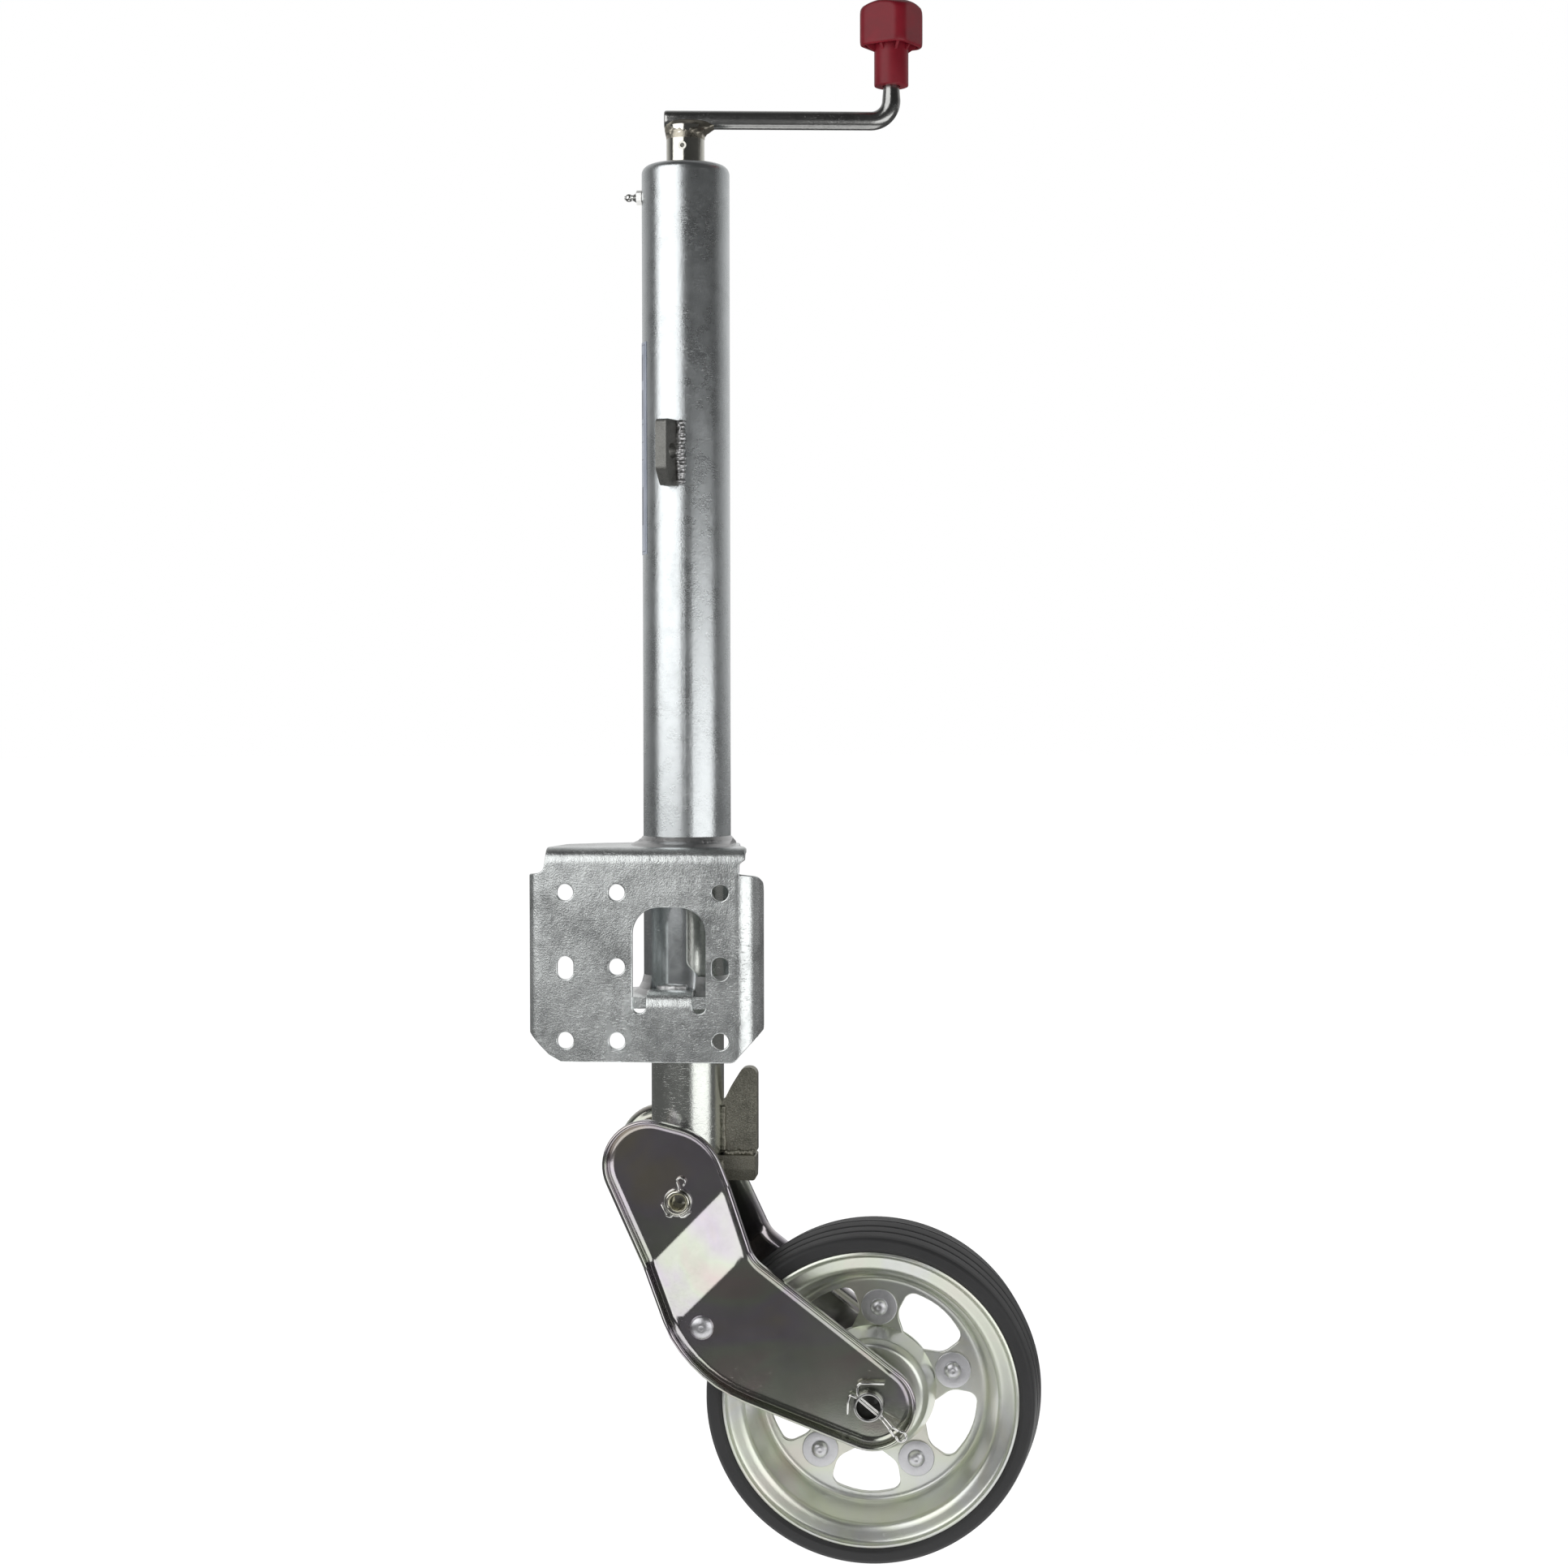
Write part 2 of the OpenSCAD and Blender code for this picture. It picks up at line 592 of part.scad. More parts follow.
fork_outline = [
  [6.5, 131.2, 100], [140.9, 79.6, 28.5], [170.1, 121.8, 28.5], [51.6, 213.1, 24],
  [19.6, 293.6, 40], [-76.7, 317.6, 31]
];
module fork_prism(d) along_y(0, 80) polygon(soft(fork_outline, d));
module joggled(up_in, low_in, up_out, low_out) {
  at_pivot() rotate([0, fold_dir, 0]) translate([0, 0, -150]) linear_extrude(300) polygon([
    [-120, up_in], [joggle_a, up_in], [joggle_b, low_in], [260, low_in],
    [260, low_out], [joggle_b, low_out], [joggle_a, up_out], [-120, up_out]
  ]);
}
module fork_plate() {
  difference() {
    union() {
      intersection() {
        fork_prism(0);
        joggled(fork_in_up, fork_in_low, fork_in_up + fork_t, fork_in_low + fork_t);
      }
      difference() {
        intersection() {
          fork_prism(0);
          joggled(fork_in_up, fork_in_low, fork_in_up + fork_t + rim_h, fork_in_low + fork_t + rim_h);
        }
        fork_prism(fork_t);
      }
    }
    at_pivot() cyl_y(pivot_r, -5, 90);
    at_wheel() cyl_y(axle_r, -5, 90);
    translate([stop_x, 0, stop_z]) cyl_y(stop_r, -5, 90);
  }
}
module fork_plate_front() color([0.4, 0.4, 0.38]) place() mirror([0, 1, 0]) fork_plate();
module fork_plate_rear() color([0.4, 0.4, 0.38]) place() fork_plate();

module pivot_pin() {
  l = fork_in_up + fork_t + 4;
  color([0.7, 0.68, 0.6]) place() at_pivot() difference() {
    cyl_y(pivot_r, -l, l);
    for (s = [-1, 1]) cyl_y(5.2, s > 0 ? 12 : -l - 1, s > 0 ? l + 1 : -12);
    for (s = [0, 1]) mirror([0, s, 0]) translate([0, -l + 2.2, 0]) rotate([90, 0, 0])
      cylinder(r1 = 5.2, r2 = 7.6, h = 2.3);
  }
}

// spring ring round the pin's end, with its loop and bent legs
module clip_shape(y) {
  translate([0, y, 0]) {
    rotate([90, 0, 0]) rotate_extrude($fn = 48) translate([9, 0]) circle(r = 0.95, $fn = 16);
    bar([1.1, 0, 9.95], [1.3, 0, 11.5], 0.8);
    translate([1.4, sign(y) * 1.3, 15.4]) rotate([90, 0, 35]) rotate_extrude($fn = 32) translate([3, 0]) circle(r = 0.85, $fn = 16);
    wire([[-1.6, 0, -10.9], [-5.4, 0, -11.3], [-11.4, 0, -2.2]], 0.8);
    wire([[1.6, 0, -10.9], [5, 0, -11.5], [11.4, 0, -6.4]], 0.8);
  }
}
module pivot_clips() {
  y = fork_in_up + fork_t + 1.6;
  color([0.8, 0.8, 0.76]) place() at_pivot() {
    clip_shape(-y);
    clip_shape(y);
  }
}

module stop_pin() {
  y = fork_in_low + fork_t;
  color([0.65, 0.65, 0.6]) place() translate([stop_x, 0, stop_z]) {
    cyl_y(stop_r, -y, y);
    for (s = [0, 1]) mirror([0, s, 0]) intersection() {
      translate([0, -y + 5.2, 0]) sphere(r = 9.2);
      cyl_y(12, -y - 10, -y);
    }
  }
}

module axle_tube() {
  color([0.35, 0.35, 0.33]) place() at_wheel() difference() {
    cyl_y(axle_r, -57.5, 57.5);
    for (s = [-1, 1]) cyl_y(8, s > 0 ? 20 : -60, s > 0 ? 60 : -20);
    for (y = [-54, 54]) translate([0, y, 0]) rotate([0, 132, 0])
      cylinder(r = 3, h = 60, center = true, $fn = 32);
  }
}
// split pin through the axle end: double shank, eye below right, legs bent at the other side
module cotter_shape(y) {
  a = -42;
  u = [cos(a), 0, sin(a)];
  w = [-sin(a), 0, cos(a)];
  o = [0, sign(y) * 6.6, 0];
  translate([0, y, 0]) {
    for (s = [-1, 1])
      wire([u * -11.2 + w * 1.45 * s, u * 12.6 + w * 1.45 * s, u * 21.5 + o + w * 1.45 * s,
        u * 24.4 + o + w * 1.45 * s], 1.4);
    translate(u * 28 + o) rotate([90, 0, 0]) rotate_extrude($fn = 32) translate([3.6, 0])
      circle(r = 1.3, $fn = 16);
    wire([u * -11 + w * 1.45, [-5.6, 0, 15.6], [10.6, 0, 16.2]], 1.4);
    wire([u * -11 - w * 1.45, [-12.6, 0, 6.6], [-14.2, 0, -5.4]], 1.4);
  }
}
module axle_cotters() {
  color([0.8, 0.8, 0.78]) place() at_wheel() {
    cotter_shape(-54);
    cotter_shape(54);
  }
}
module axle_washers() {
  color([0.6, 0.6, 0.6]) place() at_wheel() for (s = [0, 1]) mirror([0, s, 0]) difference() {
    cyl_y(16, -fork_in_low, -fork_in_low + 1.4);
    cyl_y(axle_r, -60, 0);
  }
}

// ---------- wheel ----------

half_w = tyre_w / 2;
rim_in = [
  [15, -2.5], [73, -2.5], [76.6, -3.8], [79, -7.5], [85.6, -28], [87.6, -32.2], [90.6, -34.2],
  [95.4, -35.2], [97.4, -36.6], [98.2, -38.6]
];
rim_out = [
  [100.6, -38.2], [99, -34.6], [96, -32.8], [91.4, -31.8], [89.8, -30.2], [88, -27], [81.4, -6.4],
  [79, -2], [76, 0], [15, 0]
];
tread = [
  [100.6, -38.2], [103, -half_w + 0.3], [108.4, -half_w], [110.4, -half_w + 1.4],
  [111.2, -half_w + 5], [112.2, -27], [110.4, -27], [110.4, -25], [112.5, -25], [113.5, -14.5],
  [111.5, -14.5], [111.5, -12.5], [113.8, -12.5], [wheel_r, -1], [112, -1]
];
function flip(P) = [for (i = [len(P) - 1 : -1 : 0]) [P[i][0], -P[i][1]]];

module tyre() {
  color([0.06, 0.06, 0.065]) place() at_wheel() about_y()
    polygon(concat(tread, flip(tread), [for (i = [1 : 7]) [rim_out[i][0], -rim_out[i][1]]],
      [for (i = [7 : -1 : 1]) rim_out[i]]));
}

function pol(r, a, c) = [r * cos(a), r * sin(a), c];
module rim_window() linear_extrude(60, center = true) polygon(soft([
  pol(71.5, -20, 7), pol(74.6, 0, 50), pol(71.5, 20, 7), pol(54, 22.5, 12), pol(41.5, 9, 10),
  pol(41.5, -9, 10), pol(54, -22.5, 12)
]));
module rim_half(profile) difference() {
  about_y() polygon(profile);
  for (i = [0 : rivets - 1]) rotate([90, 0, 0]) rotate([0, 0, rivet_at + (i + 0.5) * 360 / rivets])
    rim_window();
  for (i = [0 : rivets - 1]) rotate([90, 0, 0]) rotate([0, 0, rivet_at + i * 360 / rivets])
    translate([rivet_c, 0, 0]) cylinder(r = 4, h = 20, center = true, $fn = 32);
}
module rim_front() color([0.72, 0.74, 0.66]) place() at_wheel() rim_half(concat(rim_in, rim_out));
module rim_rear() {
  color([0.72, 0.74, 0.66]) place() at_wheel() mirror([0, 1, 0]) rim_half(concat(rim_in, rim_out));
}
module at_rivets() rotate([90, 0, 0]) for (i = [0 : rivets - 1])
  rotate([0, 0, rivet_at + i * 360 / rivets]) translate([rivet_c, 0, 0]) children();
module rim_rivets() {
  color([0.75, 0.76, 0.78]) place() at_wheel() at_rivets() {
    cylinder(r = 4, h = 8, center = true);
    for (s = [0, 1]) mirror([0, 0, s]) translate([0, 0, 4]) intersection() {
      cylinder(r = 6, h = 5);
      translate([0, 0, -2.2]) sphere(r = 6.4);
    }
  }
}
module rivet_washers() {
  color([0.7, 0.7, 0.74]) place() at_wheel() at_rivets() for (s = [0, 1]) mirror([0, 0, s])
    difference() {
      translate([0, 0, 2.5]) cylinder(r = 12.4, h = 1.5);
      cylinder(r = 4, h = 9);
    }
}
module hub_tube() {
  color([0.6, 0.62, 0.55]) place() at_wheel() difference() {
    cyl_y(15, -42.5, 42.5);
    cyl_y(12, -60, 60);
  }
}
module hub_bushes() {
  color([0.1, 0.1, 0.1]) place() at_wheel() for (s = [0, 1]) mirror([0, s, 0]) difference() {
    union() {
      cyl_y(12, -42.5, -14);
      cyl_y(15, -44.4, -42.5);
    }
    cyl_y(axle_r + fit_gap, -60, 0);
  }
}
cup = [
  [15, -24], [31, -24], [34.6, -22.6], [36.6, -19.4], [41, -2.5], [43.6, -2.5], [38.9, -20.4],
  [36.4, -24.6], [31.6, -26.4], [15, -26.4]
];
module hub_cup_front() color([0.72, 0.72, 0.66]) place() at_wheel() about_y() polygon(cup);
module hub_cup_rear() color([0.72, 0.72, 0.66]) place() at_wheel() about_y() polygon(flip(cup));

outer_tube();
bearing_cap();
race_upper();
thrust_balls();
mounting_plate();
lower_gusset();
bracket_welds();
safety_lug();
lug_weld();
grease_nipple();
rating_label();
crank_arm();
crank_socket();
crank_weld();
socket_pin();
screw_spindle();
spindle_collar();
race_lower();
spindle_stop();
stop_cotter();
grip_knob();
lift_nut();
nut_washer();
inner_tube();
snap_ring();
guide_fin();
stop_block();
fin_weld();
pivot_bush();
stop_foot();
fork_plate_front();
fork_plate_rear();
pivot_pin();
pivot_clips();
stop_pin();
axle_tube();
axle_cotters();
axle_washers();
tyre();
rim_front();
rim_rear();
rim_rivets();
rivet_washers();
hub_tube();
hub_bushes();
hub_cup_front();
hub_cup_rear();
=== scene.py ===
import math

import bmesh
import bpy
import numpy as np
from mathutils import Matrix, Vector, noise
from mathutils.geometry import delaunay_2d_cdt


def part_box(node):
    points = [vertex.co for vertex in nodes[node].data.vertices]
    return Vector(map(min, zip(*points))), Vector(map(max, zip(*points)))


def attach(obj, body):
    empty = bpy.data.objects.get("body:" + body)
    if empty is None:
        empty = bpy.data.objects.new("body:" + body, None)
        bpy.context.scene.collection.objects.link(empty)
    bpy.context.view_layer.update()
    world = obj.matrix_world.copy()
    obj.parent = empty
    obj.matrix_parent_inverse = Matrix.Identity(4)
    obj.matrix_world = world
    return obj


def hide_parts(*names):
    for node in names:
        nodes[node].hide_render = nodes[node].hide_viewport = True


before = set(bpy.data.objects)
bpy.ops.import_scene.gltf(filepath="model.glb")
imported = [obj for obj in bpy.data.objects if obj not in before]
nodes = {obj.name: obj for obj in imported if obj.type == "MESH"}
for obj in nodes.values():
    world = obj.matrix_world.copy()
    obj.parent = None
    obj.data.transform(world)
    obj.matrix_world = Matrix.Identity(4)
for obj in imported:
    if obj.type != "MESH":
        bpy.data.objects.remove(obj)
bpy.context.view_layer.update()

MM = 0.001
QUART = math.pi / 2


def centre(name):
    lo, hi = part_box(name)
    return (lo + hi) / 2


# main places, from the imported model
TUBE = centre("inner_tube")
TX, TY = TUBE.x, TUBE.y
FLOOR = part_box("tyre")[0].z
WHEEL = centre("tyre")
WX, WY, WZ = WHEEL.x, WHEEL.y, WHEEL.z
PIVOT = centre("pivot_pin")
PX, PZ = PIVOT.x, PIVOT.z


def P(x, y, z):
    """A point of the jack's own axes (mm: tube axis, ground) in the row frame (m)."""
    return Vector((TX + x * MM, TY + y * MM, FLOOR + z * MM))


# ---------------------------------------------------------------- camera, floor and light
scene = bpy.context.scene
cam_data = bpy.data.cameras.new("camera")
cam = bpy.data.objects.new("camera", cam_data)
scene.collection.objects.link(cam)
cam_data.sensor_width = 36
cam_data.lens = 64.16                            # fitted to the outline, as are the place and the angles
cam_data.clip_start, cam_data.clip_end = 0.05, 60
cam.location = P(237.9, -1905.0, 583.6)
yaw, pitch, roll = math.radians(5.13), math.radians(1.63), math.radians(0.09)
cam.rotation_euler = (math.pi / 2 - pitch, roll, yaw)
scene.camera = cam
scene.view_settings.view_transform = "Standard"
scene.view_settings.look = "None"


def node_tree(mat):
    mat.use_nodes = True
    nt = mat.node_tree
    nt.nodes.clear()
    return nt


class Tree:
    """Short hand for building a node tree."""

    def __init__(self, nt):
        self.nt = nt

    def add(self, kind, **inputs):
        n = self.nt.nodes.new(kind)
        for k, v in inputs.items():
            sock = n.inputs[k.replace("_", " ")]
            if isinstance(v, bpy.types.NodeSocket):
                self.nt.links.new(v, sock)
            elif isinstance(v, (tuple, list)) and len(v) == 3 and sock.type == "RGBA":
                sock.default_value = (*v, 1)
            else:
                sock.default_value = v
        return n

    def math(self, op, a, b=0.0, c=0.5, clamp=False):
        n = self.nt.nodes.new("ShaderNodeMath")
        n.operation = op
        n.use_clamp = clamp
        for i, v in enumerate((a, b, c)):
            if isinstance(v, bpy.types.NodeSocket):
                self.nt.links.new(v, n.inputs[i])
            else:
                n.inputs[i].default_value = v
        return n.outputs[0]

    def ramp(self, fac, stops):
        n = self.nt.nodes.new("ShaderNodeValToRGB")
        els = n.color_ramp.elements
        while len(els) < len(stops):
            els.new(0.5)
        for e, (pos, col) in zip(els, stops):
            e.position = pos
            e.color = (*col, 1) if isinstance(col, (tuple, list)) else (col, col, col, 1)
        self.nt.links.new(fac, n.inputs[0])
        return n.outputs[0]

    def mix(self, fac, a, b, blend="MIX"):
        n = self.nt.nodes.new("ShaderNodeMix")
        n.data_type = "RGBA"
        n.blend_type = blend
        for i, v in ((0, fac), (6, a), (7, b)):
            if isinstance(v, bpy.types.NodeSocket):
                self.nt.links.new(v, n.inputs[i])
            elif isinstance(v, (tuple, list)):
                n.inputs[i].default_value = (*v, 1) if len(v) == 3 else v
            else:
                n.inputs[i].default_value = v
        return n.outputs[2]

    def coords(self, scale=(1, 1, 1), rot=(0, 0, 0), loc=(0, 0, 0)):
        tc = self.add("ShaderNodeTexCoord")
        m = self.add("ShaderNodeMapping")
        self.nt.links.new(tc.outputs["Object"], m.inputs["Vector"])
        m.inputs["Scale"].default_value = scale
        m.inputs["Rotation"].default_value = rot
        m.inputs["Location"].default_value = loc
        return m.outputs[0]

    def noise(self, vec, scale, detail=4.0, rough=0.55, distortion=0.0):
        n = self.add("ShaderNodeTexNoise", Vector=vec, Scale=scale, Detail=detail, Roughness=rough,
                     Distortion=distortion)
        return n.outputs["Fac"]


def stage_material(name, colour, emit):
    mat = bpy.data.materials.new(name)
    t = Tree(node_tree(mat))
    d = t.add("ShaderNodeBsdfDiffuse", Color=colour, Roughness=1.0)
    e = t.add("ShaderNodeEmission", Color=(1, 1, 1), Strength=emit)
    s = t.add("ShaderNodeAddShader")
    t.nt.links.new(d.outputs[0], s.inputs[0])
    t.nt.links.new(e.outputs[0], s.inputs[1])
    t.add("ShaderNodeOutputMaterial", Surface=s.outputs[0])
    return mat


def floor_and_light():
    bm = bmesh.new()
    bmesh.ops.create_circle(bm, cap_ends=True, segments=96, radius=30)
    me = bpy.data.meshes.new("floor")
    bm.to_mesh(me)
    floor = bpy.data.objects.new("floor", me)
    scene.collection.objects.link(floor)
    floor.location = (0, 0, FLOOR)
    me.materials.append(stage_material("floor_white", (0.3, 0.3, 0.3), 1.0))

    # grey ring round the floor's middle, seen only in reflections
    bm = bmesh.new()
    seg = 96
    ring = [[bm.verts.new((r * math.cos(a), r * math.sin(a), 0))
             for a in np.linspace(0, 2 * math.pi, seg + 1)[:-1]] for r in (0.5, 25)]
    for i in range(seg):
        k = (i + 1) % seg
        bm.faces.new((ring[0][i], ring[1][i], ring[1][k], ring[0][k]))
    me = bpy.data.meshes.new("card")
    bm.to_mesh(me)
    card = bpy.data.objects.new("card", me)
    scene.collection.objects.link(card)
    card.location = (WX - 0.05, TY + 0.1, FLOOR + 0.0006)
    me.materials.append(stage_material("card_grey", (0.05, 0.05, 0.05), 0.10))
    card.visible_camera = card.visible_diffuse = card.visible_shadow = False

    def panel(name, az, dist, z0, z1, half_angle, power):
        """Upright soft box from z0 to z1 above the floor, seen from the tube under twice half_angle."""
        a = math.radians(az)
        w = 2 * dist * math.tan(math.radians(half_angle))
        h = z1 - z0
        light = bpy.data.lights.new(name, "AREA")
        light.shape = "RECTANGLE"
        light.size, light.size_y = w, h
        light.energy = power * w * h
        o = bpy.data.objects.new(name, light)
        scene.collection.objects.link(o)
        o.location = (TX + dist * math.sin(a), TY - dist * math.cos(a), FLOOR + (z0 + z1) / 2)
        aim = Vector((TX, TY, FLOOR + (z0 + z1) / 2))
        o.rotation_mode = "QUATERNION"
        o.rotation_quaternion = (aim - o.location).to_track_quat("-Z", "Y")
        o.visible_camera = False

    panel("key_left", -40, 1.35, 0.42, 2.3, 33.5, 5.2)
    panel("key_right", 50, 1.05, 0.02, 0.70, 29, 4.6)

    world = bpy.data.worlds.new("studio")
    scene.world = world
    world.use_nodes = True
    t = Tree(world.node_tree)
    world.node_tree.nodes.clear()
    tc = t.add("ShaderNodeTexCoord")
    sep = t.add("ShaderNodeSeparateXYZ", Vector=tc.outputs["Generated"])
    back = t.ramp(t.math("MULTIPLY_ADD", sep.outputs["Y"], 0.5, 0.5),
                  [(0.0, 0.045), (0.5, 0.065), (0.8, 0.5), (1.0, 0.8)])
    env = t.add("ShaderNodeBackground", Color=back, Strength=1.0)
    white = t.add("ShaderNodeBackground", Color=(1, 1, 1), Strength=1.0)
    lp = t.add("ShaderNodeLightPath")
    m = t.add("ShaderNodeMixShader", Fac=lp.outputs["Is Camera Ray"])
    t.nt.links.new(env.outputs[0], m.inputs[1])
    t.nt.links.new(white.outputs[0], m.inputs[2])
    t.add("ShaderNodeOutputWorld", Surface=m.outputs[0])


floor_and_light()

# ---------------------------------------------------------------- materials
MATS = {}


def metal(name, base, rough, spread=0.08, blotch=0.0, blotch_scale=30, tint=None, tint_scale=12,
          scratch=0.0, scratch_dir=(1, 1, 14), scratch_rot=(0, 0, 0), bump=0.02, speckle=0.0,
          diffuse=0.0, fine=0.3, dimple=0.0, dimple_scale=110, drawn_below=None):
    """Procedural metal: blotches, fine grain, scratches and, where asked, passivation tints and dimples."""
    mat = bpy.data.materials.new(name)
    t = Tree(node_tree(mat))
    v = t.coords()
    n1 = t.noise(v, blotch_scale, 6, 0.6, 0.4)
    n2 = t.noise(v, blotch_scale * 5.3, 5, 0.65)
    n3 = t.noise(v, 900, 3, 0.6)
    dark = tuple(c * (1 - blotch) for c in base)
    light = tuple(min(1, c * (1 + blotch * 0.55)) for c in base)
    mixed = t.math("ADD", t.math("MULTIPLY", n1, 1 - fine), t.math("MULTIPLY", n2, fine))
    col = t.ramp(mixed, [(0.34, dark), (0.5, base), (0.66, light)])
    if tint:
        n4 = t.noise(t.coords(loc=(3, 1, 2)), tint_scale, 3, 0.5, 1.2)
        tr = t.ramp(n4, [(0.30 + 0.4 * i / max(1, len(tint) - 1), c) for i, c in enumerate(tint)])
        col = t.mix(0.75, col, tr, "MULTIPLY")
    if speckle:
        n5 = t.noise(t.coords(), 1500, 2, 0.7)
        sp = t.ramp(n5, [(0.40, 1 - speckle), (0.62, 1.0)])
        col = t.mix(1.0, col, sp, "MULTIPLY")
    r = t.math("ADD", rough, t.math("MULTIPLY", t.math("SUBTRACT", mixed, 0.5), spread * 4))
    height = n3
    if dimple:
        n6 = t.noise(t.coords(scale=(1, 1, 0.6)), dimple_scale, 4, 0.6)
        height = t.math("ADD", height, t.math("MULTIPLY", n6, dimple))
    if scratch:
        s1 = t.noise(t.coords(scale=scratch_dir, rot=scratch_rot), 260, 3, 0.7)
        s2 = t.noise(v, 22, 3, 0.6)
        sc = t.math("MULTIPLY", t.ramp(s1, [(0.60, 0.0), (0.74, 1.0)]),
                    t.ramp(s2, [(0.42, 0.0), (0.62, 1.0)]))
        col = t.mix(t.math("MULTIPLY", sc, scratch), col, (0.92, 0.92, 0.9))
        r = t.math("ADD", r, t.math("MULTIPLY", sc, 0.18))
        height = t.math("ADD", height, t.math("MULTIPLY", sc, 0.8))
    r = t.math("ADD", r, 0.0, clamp=True)
    if drawn_below is not None:                  # the stretch inside the bracket kept its drawn surface
        z = t.add("ShaderNodeSeparateXYZ", Vector=t.add("ShaderNodeTexCoord").outputs["Object"]).outputs["Z"]
        low = t.math("LESS_THAN", z, drawn_below)
        r = t.math("MULTIPLY", r, t.math("SUBTRACT", 1.0, t.math("MULTIPLY", low, 0.3)))
        height = t.math("MULTIPLY", height, t.math("SUBTRACT", 1.0, t.math("MULTIPLY", low, 0.8)))
    b = t.add("ShaderNodeBump", Strength=min(1.0, bump * 10), Distance=0.0004, Height=height)
    p = t.add("ShaderNodeBsdfPrincipled", Base_Color=col, Metallic=1.0 - diffuse, Roughness=r,
              Normal=b.outputs[0])
    t.add("ShaderNodeOutputMaterial", Surface=p.outputs[0])
    MATS[name] = mat


metal("galv_tube", (0.66, 0.69, 0.70), 0.28, 0.06, blotch=0.17, blotch_scale=24, scratch=0.55,
      scratch_dir=(1, 1, 12), scratch_rot=(1.1, 0.2, 0), bump=0.02, fine=0.35, dimple=1.6, dimple_scale=150,
      drawn_below=FLOOR + 0.486)
metal("lug_zinc", (0.26, 0.26, 0.245), 0.5, 0.08, blotch=0.35, blotch_scale=60, speckle=0.25, bump=0.06)
metal("galv_plate", (0.70, 0.725, 0.72), 0.25, 0.07, blotch=0.55, blotch_scale=13, bump=0.035, diffuse=0.08,
      scratch=0.3, scratch_dir=(1, 1, 6), scratch_rot=(0.3, 1.4, 0), fine=0.35, dimple=2.4, dimple_scale=90)
metal("galv_weld", (0.6, 0.6, 0.6), 0.3, 0.05, blotch=0.25, blotch_scale=70, bump=0.06)
metal("zinc_tube", (0.68, 0.7, 0.66), 0.2, 0.04, blotch=0.14, scratch=0.6, scratch_dir=(1, 1, 10),
      scratch_rot=(0.9, 0.3, 0), bump=0.02)
metal("zinc_raw", (0.36, 0.35, 0.29), 0.42, 0.08, blotch=0.2, blotch_scale=60, speckle=0.4, bump=0.08)
metal("fork_zinc", (0.50, 0.495, 0.48), 0.17, 0.03, blotch=0.12, blotch_scale=14, scratch=0.12,
      tint=[(1.0, 0.84, 0.82), (0.92, 1.0, 0.84), (0.92, 0.84, 1.0), (1.0, 0.90, 0.74)],
      bump=0.006, tint_scale=11)
metal("rim_zinc", (0.74, 0.75, 0.70), 0.30, 0.04, blotch=0.08, blotch_scale=16,
      tint=[(1.0, 0.94, 0.9), (0.96, 1.0, 0.9), (0.95, 0.96, 1.0), (1.0, 0.98, 0.88)],
      bump=0.01, scratch=0.35, scratch_dir=(1, 9, 1), scratch_rot=(0.1, 0.0, 0.1))
metal("rivet_zinc", (0.66, 0.66, 0.68), 0.36, 0.05, blotch=0.1, blotch_scale=90, bump=0.02)
metal("crank_steel", (0.42, 0.42, 0.41), 0.2, 0.05, blotch=0.16, blotch_scale=50, scratch=0.25, bump=0.02)
metal("socket_zinc", (0.74, 0.73, 0.66), 0.14, 0.04, blotch=0.1, blotch_scale=60, bump=0.012)
metal("crank_weld", (0.45, 0.42, 0.35), 0.3, 0.06, blotch=0.35, blotch_scale=140, bump=0.05)
metal("pin_steel", (0.62, 0.61, 0.56), 0.22, 0.05, blotch=0.14, blotch_scale=120, bump=0.02)
metal("wire_steel", (0.74, 0.74, 0.72), 0.15, 0.04, blotch=0.08, blotch_scale=200, bump=0.01)
metal("bearing_steel", (0.6, 0.6, 0.6), 0.15)
metal("screw_steel", (0.4, 0.4, 0.39), 0.3)
metal("nut_bronze", (0.6, 0.45, 0.2), 0.3)


def plastic(name, base, rough, scale=60, spec=0.5):
    """Procedural moulded plastic or rubber: faint colour variation and a fine grain."""
    mat = bpy.data.materials.new(name)
    t = Tree(node_tree(mat))
    v = t.coords()
    n1 = t.noise(v, scale, 5, 0.6)
    n2 = t.noise(v, 2400, 2, 0.6)
    col = t.ramp(n1, [(0.35, tuple(c * 0.86 for c in base)), (0.65, tuple(c * 1.12 for c in base))])
    r = t.math("ADD", rough, t.math("MULTIPLY", t.math("SUBTRACT", n1, 0.5), 0.2), clamp=True)
    b = t.add("ShaderNodeBump", Strength=0.3, Distance=0.0002, Height=n2)
    p = t.add("ShaderNodeBsdfPrincipled", Base_Color=col, Roughness=r, Normal=b.outputs[0],
              Specular_IOR_Level=spec)
    t.add("ShaderNodeOutputMaterial", Surface=p.outputs[0])
    MATS[name] = mat


plastic("knob_red", (0.165, 0.004, 0.012), 0.42, spec=0.36)
plastic("bush_black", (0.02, 0.02, 0.02), 0.5)
plastic("tyre_rubber", (0.022, 0.022, 0.023), 0.55, scale=25)


